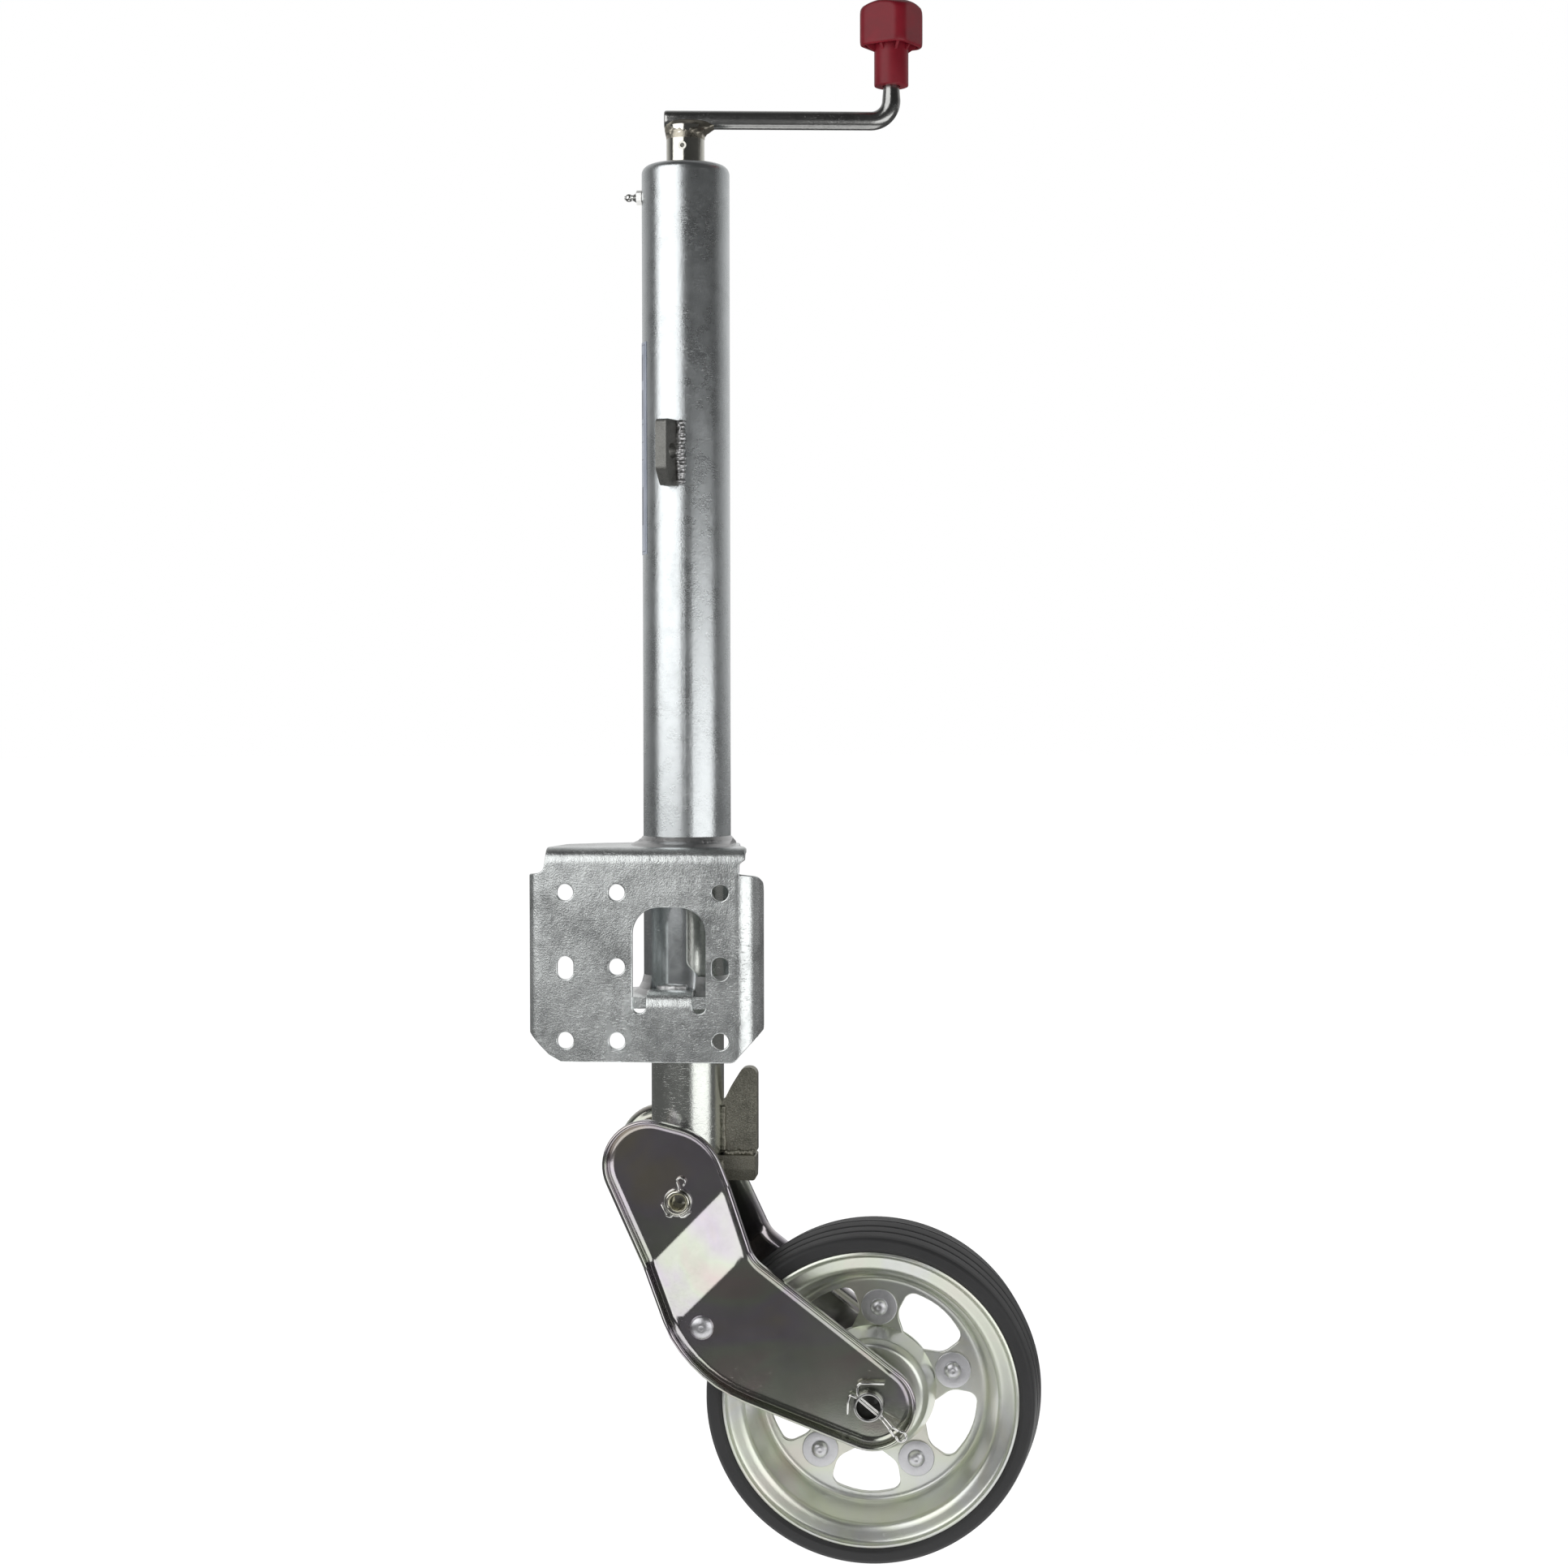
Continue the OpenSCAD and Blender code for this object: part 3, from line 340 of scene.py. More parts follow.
def label_film():
    """Film with plain frames and blocks, laid out round the tube's axis and along its height (mm)."""
    mat = bpy.data.materials.new("label_film")
    t = Tree(node_tree(mat))
    geo = t.add("ShaderNodeTexCoord")
    sep = t.add("ShaderNodeSeparateXYZ", Vector=geo.outputs["Object"])
    ang = t.math("ARCTAN2", t.math("SUBTRACT", sep.outputs["Y"], TY),
                 t.math("SUBTRACT", sep.outputs["X"], TX))
    ang = t.math("MODULO", t.math("ADD", ang, 2 * math.pi), 2 * math.pi)
    u = t.math("MULTIPLY", t.math("SUBTRACT", ang, math.radians(128)), 30.3)
    v = t.math("MULTIPLY", t.math("SUBTRACT", sep.outputs["Z"], FLOOR + 0.686), 1000)

    def box_mask(u0, u1, v0, v1):
        across = t.math("MULTIPLY", t.math("GREATER_THAN", u, u0), t.math("LESS_THAN", u, u1))
        along = t.math("MULTIPLY", t.math("GREATER_THAN", v, v0), t.math("LESS_THAN", v, v1))
        return t.math("MULTIPLY", across, along)

    mask = None
    for b in [(1.5, 43.8, 1.5, 2.3), (1.5, 43.8, 141.7, 142.5), (1.5, 2.3, 1.5, 142.5),
              (43.0, 43.8, 1.5, 142.5), (5, 40, 118, 136), (5, 40, 88, 89), (5, 40, 76, 77),
              (5, 40, 64, 65), (5, 18, 92, 112), (22, 40, 92, 112), (5, 40, 20, 46)]:
        m = box_mask(*b)
        mask = m if mask is None else t.math("MAXIMUM", mask, m)
    n = t.noise(t.coords(), 40, 4, 0.6)
    base = t.ramp(n, [(0.3, (0.26, 0.29, 0.35)), (0.7, (0.36, 0.39, 0.45))])
    col = t.mix(t.math("MULTIPLY", mask, 0.75), base, (0.10, 0.11, 0.15))
    b = t.add("ShaderNodeBump", Strength=0.1, Distance=0.0001, Height=n)
    p = t.add("ShaderNodeBsdfPrincipled", Base_Color=col, Roughness=0.33, Normal=b.outputs[0])
    t.add("ShaderNodeOutputMaterial", Surface=p.outputs[0])
    MATS["label_film"] = mat


label_film()

# CAD nodes take the material of their slot
for o in nodes.values():
    for s in o.material_slots:
        key = s.material.name.split(".")[0] if s.material else None
        if key in MATS:
            s.material = MATS[key]

for s in nodes["safety_lug"].material_slots:
    s.material = MATS["lug_zinc"]


# ---------------------------------------------------------------- mesh helpers (mm, jack axes)
def unit2(v):
    return v / np.hypot(*v)


def cross2(a, b):
    return a[0] * b[1] - a[1] * b[0]


def soft(shape, d=0.0, step=None, turn=7):
    """Rounded polygon [x, y, radius] moved inwards by d; the point count does not depend on d."""
    n = len(shape)
    base = [np.array(p[:2], float) for p in shape]

    def moved(i, dd):
        a, b, c = base[i - 1], base[i], base[(i + 1) % n]
        u, v = unit2(b - a), unit2(c - b)
        p, q = b + dd * np.array([-u[1], u[0]]), b + dd * np.array([-v[1], v[0]])
        k = cross2(u, v)
        return p if abs(k) < 1e-6 else p + u * (cross2(q - p, v) / k)

    def arc(i, dd):
        a, b, c = moved((i - 1) % n, dd), moved(i, dd), moved((i + 1) % n, dd)
        u, v = unit2(b - a), unit2(c - b)
        t = math.atan2(cross2(u, v), u @ v)
        r = max(shape[i][2] + (-dd if t > 0 else dd), 0.08)
        s = b - u * r * math.tan(abs(t) / 2)
        o = s + np.array([-u[1], u[0]]) * r * math.copysign(1, t)
        k = max(2, math.ceil(abs(math.degrees(t)) / turn))
        out = []
        for j in range(k + 1):
            c, w = math.cos(t * j / k), math.sin(t * j / k)
            e = s - o
            out.append(o + np.array([e[0] * c - e[1] * w, e[0] * w + e[1] * c]))
        return out

    arcs = [arc(i, d) for i in range(n)]
    rest = arcs if d == 0 else [arc(i, 0.0) for i in range(n)]
    pts = []
    for i in range(n):
        pts += arcs[i]
        if step:
            gap = np.hypot(*(rest[(i + 1) % n][0] - rest[i][-1]))
            m = int(gap / step)
            a, b = arcs[i][-1], arcs[(i + 1) % n][0]
            pts += [a + (b - a) * j / (m + 1) for j in range(1, m + 1)]
    return np.array(pts)


def ring_at(c, r, n=48):
    a = np.linspace(0, 2 * math.pi, n, endpoint=False)
    return np.stack([c[0] + r * np.cos(a), c[1] + r * np.sin(a)], 1)


def inside(pts, ring):
    x, y = pts[:, 0][:, None], pts[:, 1][:, None]
    a, b = ring, np.roll(ring, -1, 0)
    up = (a[:, 1] > y) != (b[:, 1] > y)
    dy = b[:, 1] - a[:, 1]
    xi = a[:, 0] + (y - a[:, 1]) / np.where(np.abs(dy) < 1e-12, 1e-12, dy) * (b[:, 0] - a[:, 0])
    return (np.sum(up & (x < xi), 1) % 2) == 1


def fill(rings, grid):
    """Triangles inside rings[0] and outside the others: points, triangles, each ring's indices."""
    pts, edges, first = [], [], []
    for r in rings:
        first.append(len(pts))
        m = len(r)
        edges += [(len(pts) + j, len(pts) + (j + 1) % m) for j in range(m)]
        pts += [tuple(p) for p in r]
    pts += [tuple(p) for p in grid]
    res = delaunay_2d_cdt([Vector(p) for p in pts], edges, [], 0, 1e-5)
    out = np.array([tuple(v) for v in res[0]])
    tri = np.array([f for f in res[2] if len(f) == 3])
    where = {}
    for k, orig in enumerate(res[3]):
        for i in orig:
            where[i] = k
    mid = out[tri].mean(1)
    keep = inside(mid, rings[0])
    for r in rings[1:]:
        keep &= ~inside(mid, r)
    tri = tri[keep]
    a, b, c = out[tri[:, 0]], out[tri[:, 1]], out[tri[:, 2]]
    area = (b[:, 0] - a[:, 0]) * (c[:, 1] - a[:, 1]) - (b[:, 1] - a[:, 1]) * (c[:, 0] - a[:, 0])
    tri[area < 0] = tri[area < 0][:, ::-1]
    loops = [[where[f + j] for j in range(len(r))] for f, r in zip(first, rings)]
    return out, tri, loops


def outward(ring):
    t = np.roll(ring, -1, 0) - np.roll(ring, 1, 0)
    n = np.stack([t[:, 1], -t[:, 0]], 1)
    return n / np.linalg.norm(n, axis=1)[:, None]


def norm3(v):
    return v / np.maximum(np.linalg.norm(v, axis=1), 1e-12)[:, None]


class Shell:
    """Vertices, normals and faces gathered piece by piece."""

    def __init__(self):
        self.v, self.n, self.f, self.count = [], [], [], 0

    def add(self, v, n=None):
        v = np.asarray(v, float)
        self.v.append(v)
        self.n.append(np.zeros_like(v) if n is None else n)
        self.count += len(v)
        return np.arange(self.count - len(v), self.count)

    def strip(self, a, b, flip=False):
        m = len(a)
        for j in range(m):
            k = (j + 1) % m
            q = (int(a[j]), int(a[k]), int(b[k]), int(b[j]))
            self.f.append(q[::-1] if flip else q)

    def tris(self, t, base, flip=False):
        for x in t:
            q = tuple(int(base[i]) for i in x)
            self.f.append(q[::-1] if flip else q)

    def grid(self, rows, flip=False):
        for a, b in zip(rows[:-1], rows[1:]):
            self.strip(a, b, flip)

    def mirror_y(self):
        """Mirrored across the XZ plane; the faces keep their order, so they turn inside out."""
        self.v = [v * [1, -1, 1] for v in self.v]
        self.n = [n * [1, -1, 1] for n in self.n]


def put(name, shell, body, slot_name, stands_for=(), smooth=40, use_normals=False, move=None):
    """Makes the object from a shell in jack axes (mm), or in a piece's own axes with a move function.

    A face that names a vertex twice loses the repeat, so a ring may shrink to one point."""
    v = np.concatenate(shell.v)
    if move is not None:
        v = move(v)
    v = v * MM + np.array([TX, TY, FLOOR])
    me = bpy.data.meshes.new(name)
    faces = [tuple(dict.fromkeys(f)) for f in shell.f]
    me.from_pydata(v.tolist(), [], [f for f in faces if len(f) > 2])
    me.validate()
    me.update()
    me.shade_smooth()
    if use_normals:
        me.normals_split_custom_set_from_vertices(norm3(np.concatenate(shell.n)).tolist())
    else:
        bm = bmesh.new()
        bm.from_mesh(me)
        bmesh.ops.recalc_face_normals(bm, faces=bm.faces)
        bm.to_mesh(me)
        bm.free()
        me.set_sharp_from_angle(angle=math.radians(smooth))
    o = bpy.data.objects.new(name, me)
    scene.collection.objects.link(o)
    me.materials.append(MATS[slot_name])
    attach(o, body)
    if stands_for:
        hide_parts(*stands_for)


def sheet(place, t, rings, grid, edge=0.6, seg=3):
    """Closed sheet with rounded edges. rings: functions of the distance into the material, outer first."""
    sh = Shell()
    pts, tri, loops = fill([r(edge) for r in rings], grid)
    d = 0.02

    def frame_of(p, w):
        pu = norm3(place(p + [d, 0], w) - place(p - [d, 0], w))
        pv = norm3(place(p + [0, d], w) - place(p - [0, d], w))
        nw = norm3(np.cross(pu, pv))
        s = np.sign(np.sum(nw * (place(p, w + d) - place(p, w - d)), 1)).mean()
        return pu, pv, nw * math.copysign(1, s), s

    ids = []
    for w, sgn in ((0.0, -1), (t, 1)):
        _, _, nw, s = frame_of(pts, w)
        ids.append(sh.add(place(pts, w), nw * sgn))
        sh.tris(tri, ids[-1], flip=(s * sgn) < 0)
    for r, loop in zip(rings, loops):
        o2 = outward(r(0.0)) * (1 if r is rings[0] else -1)
        rows = [ids[0][loop]]
        steps = [(QUART * k / seg, 0) for k in range(1, seg + 1)]
        steps += [(QUART * k / seg, 1) for k in range(seg, 0, -1)]
        for th, far in steps:
            e, w = edge * (1 - math.sin(th)), edge * (1 - math.cos(th))
            w = t - w if far else w
            p = r(e)
            pu, pv, nw, s = frame_of(p, w)
            side = o2[:, :1] * pu + o2[:, 1:] * pv
            rows.append(sh.add(place(p, w), math.sin(th) * side + (1 if far else -1) * math.cos(th) * nw))
        rows.append(ids[1][loop])
        sh.grid(rows, flip=(s < 0) != (r is not rings[0]))
    return sh


def mesh_grid(xs, ys):
    return np.array([(x, y) for x in xs for y in ys])


def only_inside(pts, rings, gap=1.4):
    keep = inside(pts, rings[0](gap))
    for r in rings[1:]:
        keep &= ~inside(pts, r(gap))
    return pts[keep]


def lathe(profile, seg=96, closed=True):
    """Turned about the Y axis through the origin; profile is (radius, y)."""
    sh = Shell()
    a = np.linspace(0, 2 * math.pi, seg, endpoint=False)
    rows = [sh.add(np.stack([r * np.cos(a), np.full(seg, y), r * np.sin(a)], 1)) if r > 1e-6
            else np.repeat(sh.add([[0, y, 0]]), seg) for r, y in profile]
    sh.grid(rows + rows[:1] if closed else rows)
    return sh


def rounded_path(pts, r, n=7):
    """Polyline with its corners rounded; r is one radius, or a list of one for each point."""
    pts = [np.array(p, float) for p in pts]
    rs = r if isinstance(r, (list, tuple)) else [r] * len(pts)
    out = [pts[0]]
    for a, b, c, rr in zip(pts[:-2], pts[1:-1], pts[2:], rs[1:-1]):
        la, lc = np.linalg.norm(a - b), np.linalg.norm(c - b)
        u, v = (a - b) / la, (c - b) / lc
        ang = math.acos(max(-1, min(1, float(u @ v))))
        k = min(rr / math.tan(ang / 2), 0.49 * la, 0.49 * lc)
        p, q = b + u * k, b + v * k
        for t in np.linspace(0, 1, n):
            out.append((1 - t) ** 2 * p + 2 * t * (1 - t) * b + t * t * q)
    out.append(pts[-1])
    return np.array(out)


def resample(path, step):
    seg = np.linalg.norm(np.diff(path, axis=0), axis=1)
    s = np.concatenate([[0], np.cumsum(seg)])
    t = np.linspace(0, s[-1], max(3, int(s[-1] / step) + 1))
    return np.stack([np.interp(t, s, path[:, k]) for k in range(3)], 1), t


def sweep(path, radius, sides=14, ends=0.35, sh=None, lump=0.0, squash=(1, 1), up=None, ripple=0.0,
          seed=0.0):
    """Round bar along a path, with rounded ends; lump and ripple make a weld bead of it."""
    sh = sh or Shell()
    path = np.asarray(path, float)
    n = len(path)
    tan = norm3(np.gradient(path, axis=0))
    side = (0, 0, 1) if abs(tan[0][2]) < 0.9 else (1, 0, 0)
    first = np.array(side if up is None else up, float)
    us = []
    u = first - tan[0] * (first @ tan[0])
    for t in tan:
        u = u - t * (u @ t) if up is None else first - t * (first @ t)
        u = u / np.linalg.norm(u)
        us.append(u)
    a = np.linspace(0, 2 * math.pi, sides, endpoint=False)
    rad = np.full(n, radius) if np.isscalar(radius) else np.asarray(radius, float)
    length = np.concatenate([[0], np.cumsum(np.linalg.norm(np.diff(path, axis=0), axis=1))])
    rows = []
    offs = [(ends * (1 - math.cos(x)), 1 - ends * (1 - math.sin(x))) for x in np.linspace(0, QUART, 4)[:-1]]

    def row(p, t, u, r, s):
        w = np.cross(t, u)
        pts = []
        for x in a:
            k = r
            if lump or ripple:
                q = p + r * (u * math.cos(x) + w * math.sin(x))
                k = r * (1 + ripple * math.sin(s * 2.4 + 0.8 * math.cos(x) + seed)
                         + lump * noise.noise(Vector(q * 0.32 + seed))
                         + 0.4 * lump * noise.noise(Vector(q * 0.9 + seed)))
            pts.append(p + u * math.cos(x) * k * squash[0] + w * math.sin(x) * k * squash[1])
        return np.array(pts)

    def cap(i, sign, steps):
        for back, k in steps:
            p = path[i] + sign * tan[i] * (back * rad[i])
            rows.append(sh.add(row(p, tan[i], us[i], rad[i] * k, length[i])))

    rows.append(np.repeat(sh.add([path[0]]), sides))
    cap(0, 1, offs)
    for i in range(1, n - 1):
        rows.append(sh.add(row(path[i], tan[i], us[i], rad[i], length[i])))
    cap(-1, -1, offs[::-1])
    rows.append(np.repeat(sh.add([path[-1]]), sides))
    sh.grid(rows)
    return sh


def circle3(c, r, n, a0, a1):
    """Arc across the Y axis."""
    a = np.linspace(a0, a1, n)
    return np.stack([r * np.cos(a), np.zeros_like(a), r * np.sin(a)], 1) + np.array(c, float)


def spin_z(deg):
    c, s = math.cos(math.radians(deg)), math.sin(math.radians(deg))
    return np.array([[c, -s, 0], [s, c, 0], [0, 0, 1.0]])


AX, AZ = (WX - TX) / MM, (WZ - FLOOR) / MM          # axle, in jack axes
PVX, PVZ = (PX - TX) / MM, (PZ - FLOOR) / MM        # fold pivot
stop = centre("stop_pin")
SPX, SPZ = (stop.x - TX) / MM, (stop.z - FLOOR) / MM
at_axle = lambda v: v + np.array([AX, 0, AZ])
at_pivot = lambda v: v + np.array([PVX, 0, PVZ])

# ---------------------------------------------------------------- fork plates
FORK = [[6.5, 131.2, 100], [140.9, 79.6, 28.5], [170.1, 121.8, 28.5], [51.6, 213.1, 24], [19.6, 293.6, 40],
        [-76.7, 317.6, 31]]
DOWN = math.radians(44.7)                         # angle of the fork below the horizontal
JDIR = np.array([math.cos(DOWN), -math.sin(DOWN)])


def joggle(p):
    """Height of the plate's inner face and its slope, along the direction down the fork."""
    s = (p - [PVX, PVZ]) @ JDIR
    fine = np.linspace(-200, 300, 5001)
    slope = np.where((fine > 16) & (fine < 57), 16 / 41.0, 0.0)
    k = np.hanning(61)
    slope = np.convolve(slope, k / k.sum(), "same")
    height = np.cumsum(slope)
    height = 30 + height * 16 / height[-1]
    return np.interp(s, fine, height), np.interp(s, fine, slope)


def fork_plate(side):
    sh = Shell()
    prof = []                                    # (distance in from the outline, height, normal d, normal h)
    for x in np.linspace(0, 90, 9):              # outer bend, from the back face to the wall
        c, s = math.cos(math.radians(x)), math.sin(math.radians(x))
        prof.append((8 - 8 * s, 8 - 8 * c, -s, -c))
    for x in np.linspace(0, 180, 9):             # rounded top edge
        c, s = math.cos(math.radians(x)), math.sin(math.radians(x))
        prof.append((1.5 - 1.5 * c, 11.5 + 1.5 * s, -c, s))
    for x in np.linspace(90, 0, 8):              # inner bend
        c, s = math.cos(math.radians(x)), math.sin(math.radians(x))
        prof.append((8 - 5 * s, 8 - 5 * c, s, c))
    rows = []
    out = outward(soft(FORK, 0.0, 2.5))
    for d, h, nd, nh in prof:
        ring = soft(FORK, d, 2.5)
        y, sl = joggle(ring)
        v = np.stack([ring[:, 0], y + h, ring[:, 1]], 1)
        n = np.stack([-nd * out[:, 0] - nh * sl * JDIR[0], np.full(len(ring), nh),
                      -nd * out[:, 1] - nh * sl * JDIR[1]], 1)
        rows.append((v, n))
    flat = soft(FORK, 8.0, 2.5)
    bores = [((PVX, PVZ), 8.0), ((AX, AZ), 10.0), ((SPX, SPZ), 6.0)]
    s_lines = np.concatenate([np.arange(-70, 11, 9), np.arange(12, 21, 1.0), np.arange(23, 52, 5),
                              np.arange(52.5, 62, 1.0), np.arange(66, 240, 10)])
    across = np.array([-JDIR[1], JDIR[0]])
    cand = np.array([np.array([PVX, PVZ]) + JDIR * s + across * t
                     for s in s_lines for t in np.arange(-70, 71, 7)])
    keep = inside(cand, soft(FORK, 10.5, 2.5))
    for c, r in bores:
        keep &= np.hypot(cand[:, 0] - c[0], cand[:, 1] - c[1]) > r + 2
    pts, tri, loops = fill([flat] + [ring_at(c, r + 0.5, 40) for c, r in bores], cand[keep])
    y, sl = joggle(pts)
    nrm = np.stack([-sl * JDIR[0], np.ones(len(pts)), -sl * JDIR[1]], 1)
    front = sh.add(np.stack([pts[:, 0], y + 3, pts[:, 1]], 1), nrm)
    back = sh.add(np.stack([pts[:, 0], y, pts[:, 1]], 1), -nrm)
    sh.tris(tri, front)
    sh.tris(tri, back, flip=True)
    ids = [back[loops[0]]] + [sh.add(v, n) for v, n in rows[1:-1]] + [front[loops[0]]]
    sh.grid(ids)
    for (c, r), loop in zip(bores, loops[1:]):
        o = -outward(ring_at(c, r, 40))
        line = [back[loop]]
        for e, w, cs, sn in ((0.15, 0.15, -0.7, 0.7), (0, 0.5, 0, 1), (0, 2.5, 0, 1), (0.15, 2.85, 0.7, 0.7)):
            p = ring_at(c, r + e, 40)
            yy, _ = joggle(p)
            line.append(sh.add(np.stack([p[:, 0], yy + w, p[:, 1]], 1),
                               np.stack([sn * o[:, 0], np.full(40, cs), sn * o[:, 1]], 1)))
        line.append(front[loop])
        sh.grid(line, flip=True)
    if side < 0:
        sh.mirror_y()
    else:
        sh.f = [f[::-1] for f in sh.f]
    return sh


put("fork_front", fork_plate(-1), "fork", "fork_zinc", ["fork_plate_front"], use_normals=True)
put("fork_rear", fork_plate(1), "fork", "fork_zinc", ["fork_plate_rear"], use_normals=True)

# ---------------------------------------------------------------- mounting plate, one folded sheet
FACE, T = -49.0, 4.0
R_SIDE, R_TOP = 15.0, 10.0
XL, XR, ZT = -102.3 + 8, 53.2 - R_SIDE, 487.5 - R_TOP


def plate_place(p, w):
    u, v = p[:, 0], p[:, 1]
    x, y, z = u.copy(), np.full(len(u), FACE) + w, v.copy()

    def bend(s, r):
        a = np.clip(s / r, 0, QUART)
        more = np.maximum(s - r * QUART, 0)
        return (r - w) * np.sin(a), r - (r - w) * np.cos(a) + more

    k = (u > XR) & (v < 470.8)
    a, b = bend(u - XR, R_SIDE)
    x, y = np.where(k, XR + a, x), np.where(k, FACE + b, y)
    k = u < XL
    a, b = bend(XL - u, 8.0)
    x, y = np.where(k, XL - a, x), np.where(k, FACE + b, y)
    k = v > ZT
    a, b = bend(v - ZT, R_TOP)
    z, y = np.where(k, ZT + a, z), np.where(k, FACE + b, y)
    k = (u > -22.9) & (u < 9.5) & (v > 380) & (v < 408)
    a, b = bend(v - 380, 11.0)
    z, y = np.where(k, 380 + a, z), np.where(k, FACE + b, y)
    return np.stack([x, y, z], 1)


def plate():
    ul, ur = XL - 8 * QUART - 35, XR + R_SIDE * QUART + 46 - R_SIDE
    tv = lambda y: ZT + R_TOP * QUART + (y + 49 - R_TOP)
    bends = (0.3, 0.7, 1.1, 1.5)
    left = [[XL - 8 * a, 347.5 + (-88 - (XL - 8 * math.sin(a))) * 1.031, 1] for a in bends[::-1]]
    right = [[XR + R_SIDE * a, 346.5 + (XR + R_SIDE * math.sin(a) - 40) * 1.094, 1] for a in bends]
    outline = [[ul, 362.2, 5]] + left + [[-88, 347.5, 6], [-80, 343, 5], [37, 343, 7]] + right + [
        [ur, 360.9, 5], [ur, 462, 9], [XR + 17, 468.4, 8], [XR + 3.0, 470, 0.6], [40.8, 471.6, 0.5],
        [40.9, 476.4, 2],
        [44.7, 480.5, 2], [44.7, tv(-38), 2], [42.5, tv(-26), 10],
        [35.6, tv(-2), 12], [34, tv(26), 10], [24, tv(38), 8], [-24, tv(38), 8], [-62, tv(22), 10],
        [-84.4, tv(4), 6], [-90.4, tv(-36), 8], [-90.6, 479, 3], [-92.2, 471.5, 5], [-97, 470, 4],
        [ul, 468, 8]]
    window = [[-31.4, 376.3, 4.4], [-22.4, 376.3, 4.4], [-22.4, 405.0, 2], [9, 405.0, 2], [9, 376.3, 4.4],
              [18, 376.3, 4.4], [18, 447.5, 18], [-31.4, 447.5, 18]]
    rings = [lambda e: soft(outline, e, 3.0), lambda e: soft(window, -e, 3.0)]
    rings.append(lambda e: ring_at((0, tv(0)), 30.0, 96))
    for x in (-77, -42, 28):
        for z in (457.5, 357.5):
            rings.append(lambda e, x=x, z=z: ring_at((x, z), 5.5 + e, 40))
    rings.append(lambda e: ring_at((-42, 407.5), 5.5 + e, 40))
    for x in (-77, 28):
        slot = [[x - 5.5, 398.75, 5.49], [x + 5.5, 398.75, 5.49], [x + 5.5, 414.25, 5.49],
                [x - 5.5, 414.25, 5.49]]
        rings.append(lambda e, slot=slot: soft(slot, -e, 3.0))
    us = np.concatenate([np.arange(ul + 6, XL - 14, 9), np.linspace(XL - 13, XL + 1, 9),
                         np.arange(XL + 8, XR - 4, 9), np.linspace(XR - 1, XR + 20, 13),
                         np.arange(XR + 27, ur, 9)])
    vs = np.concatenate([np.arange(350, 378, 8), np.linspace(379, 398, 14), np.arange(404, 474, 9),
                         np.linspace(476.5, 494.5, 13), np.arange(500, 580, 9)])
    grid = mesh_grid(us + 0.13, vs + 0.07)
    return sheet(plate_place, T, rings, only_inside(grid, rings), edge=0.9, seg=4)


put("plate_sheet", plate(), "frame", "galv_plate", ["mounting_plate"], use_normals=True)

# ---------------------------------------------------------------- wheel
HUB_R = 15
RIVET_R, RIVET_A = 56.3, 13.75                    # radius of the rivets' circle, angle of the first one
RIM = [(HUB_R, -2.5), (78.0, -2.5), (86.6, -32.6), (96.9, -35.4), (98.4, -39.2)]
rim_line = rounded_path([(r, y, 0) for r, y in RIM], [0, 5.5, 7.0, 3.4, 0], 12)
rim_line, rim_s = resample(rim_line, 0.7)


def rim_place(p, w):
    rho, phi = np.hypot(p[:, 0], p[:, 1]), np.arctan2(p[:, 1], p[:, 0])
    s = np.clip(rho - HUB_R, 0, rim_s[-1])
    r, y = np.interp(s, rim_s, rim_line[:, 0]), np.interp(s, rim_s, rim_line[:, 1])
    tr, ty = np.gradient(rim_line[:, 0], rim_s), np.gradient(rim_line[:, 1], rim_s)
    a, b = np.interp(s, rim_s, tr), np.interp(s, rim_s, ty)
    over = rho - HUB_R - s
    k = np.hypot(a, b)
    a, b = a / k, b / k
    r, y = r + over * a - w * b, y + over * b + w * a
    return np.stack([r * np.cos(phi), y, r * np.sin(phi)], 1)


def rim(side):
    pol = lambda r, a, c: [r * math.cos(math.radians(a)), r * math.sin(math.radians(a)), c]
    rings = [lambda e: ring_at((0, 0), HUB_R + rim_s[-1] - e, 160), lambda e: ring_at((0, 0), HUB_R + e, 48)]
    for i in range(5):
        m = RIVET_A + (i + 0.5) * 72
        win = [pol(41.5, m - 9, 10), pol(54, m - 22.5, 12), pol(71.5, m - 20, 7), pol(74.6, m, 50),
               pol(71.5, m + 20, 7), pol(54, m + 22.5, 12), pol(41.5, m + 9, 10)]
        rings.append(lambda e, win=win: soft(win, -e, 3.0))
        b = pol(RIVET_R, RIVET_A + i * 72, 0)[:2]
        rings.append(lambda e, b=b: ring_at(b, 4.0 + e, 20))
    grid = np.concatenate([ring_at((0, 0), r, int(n)) for r, n in
                           [(22, 48), (30, 60), (38, 72), (47, 80), (56, 90), (65, 110)] +
                           [(x, 144) for x in np.arange(70.5, HUB_R + rim_s[-1] - 2, 1.6)]])
    sh = sheet(rim_place, 2.5, rings, only_inside(grid, rings, 1.3), edge=0.7, seg=3)
    if side > 0:
        sh.mirror_y()
        sh.f = [f[::-1] for f in sh.f]
    return sh


put("rim_disc_front", rim(-1), "wheel", "rim_zinc", ["rim_front"], use_normals=True, move=at_axle)
put("rim_disc_rear", rim(1), "wheel", "rim_zinc", ["rim_rear"], use_normals=True, move=at_axle)

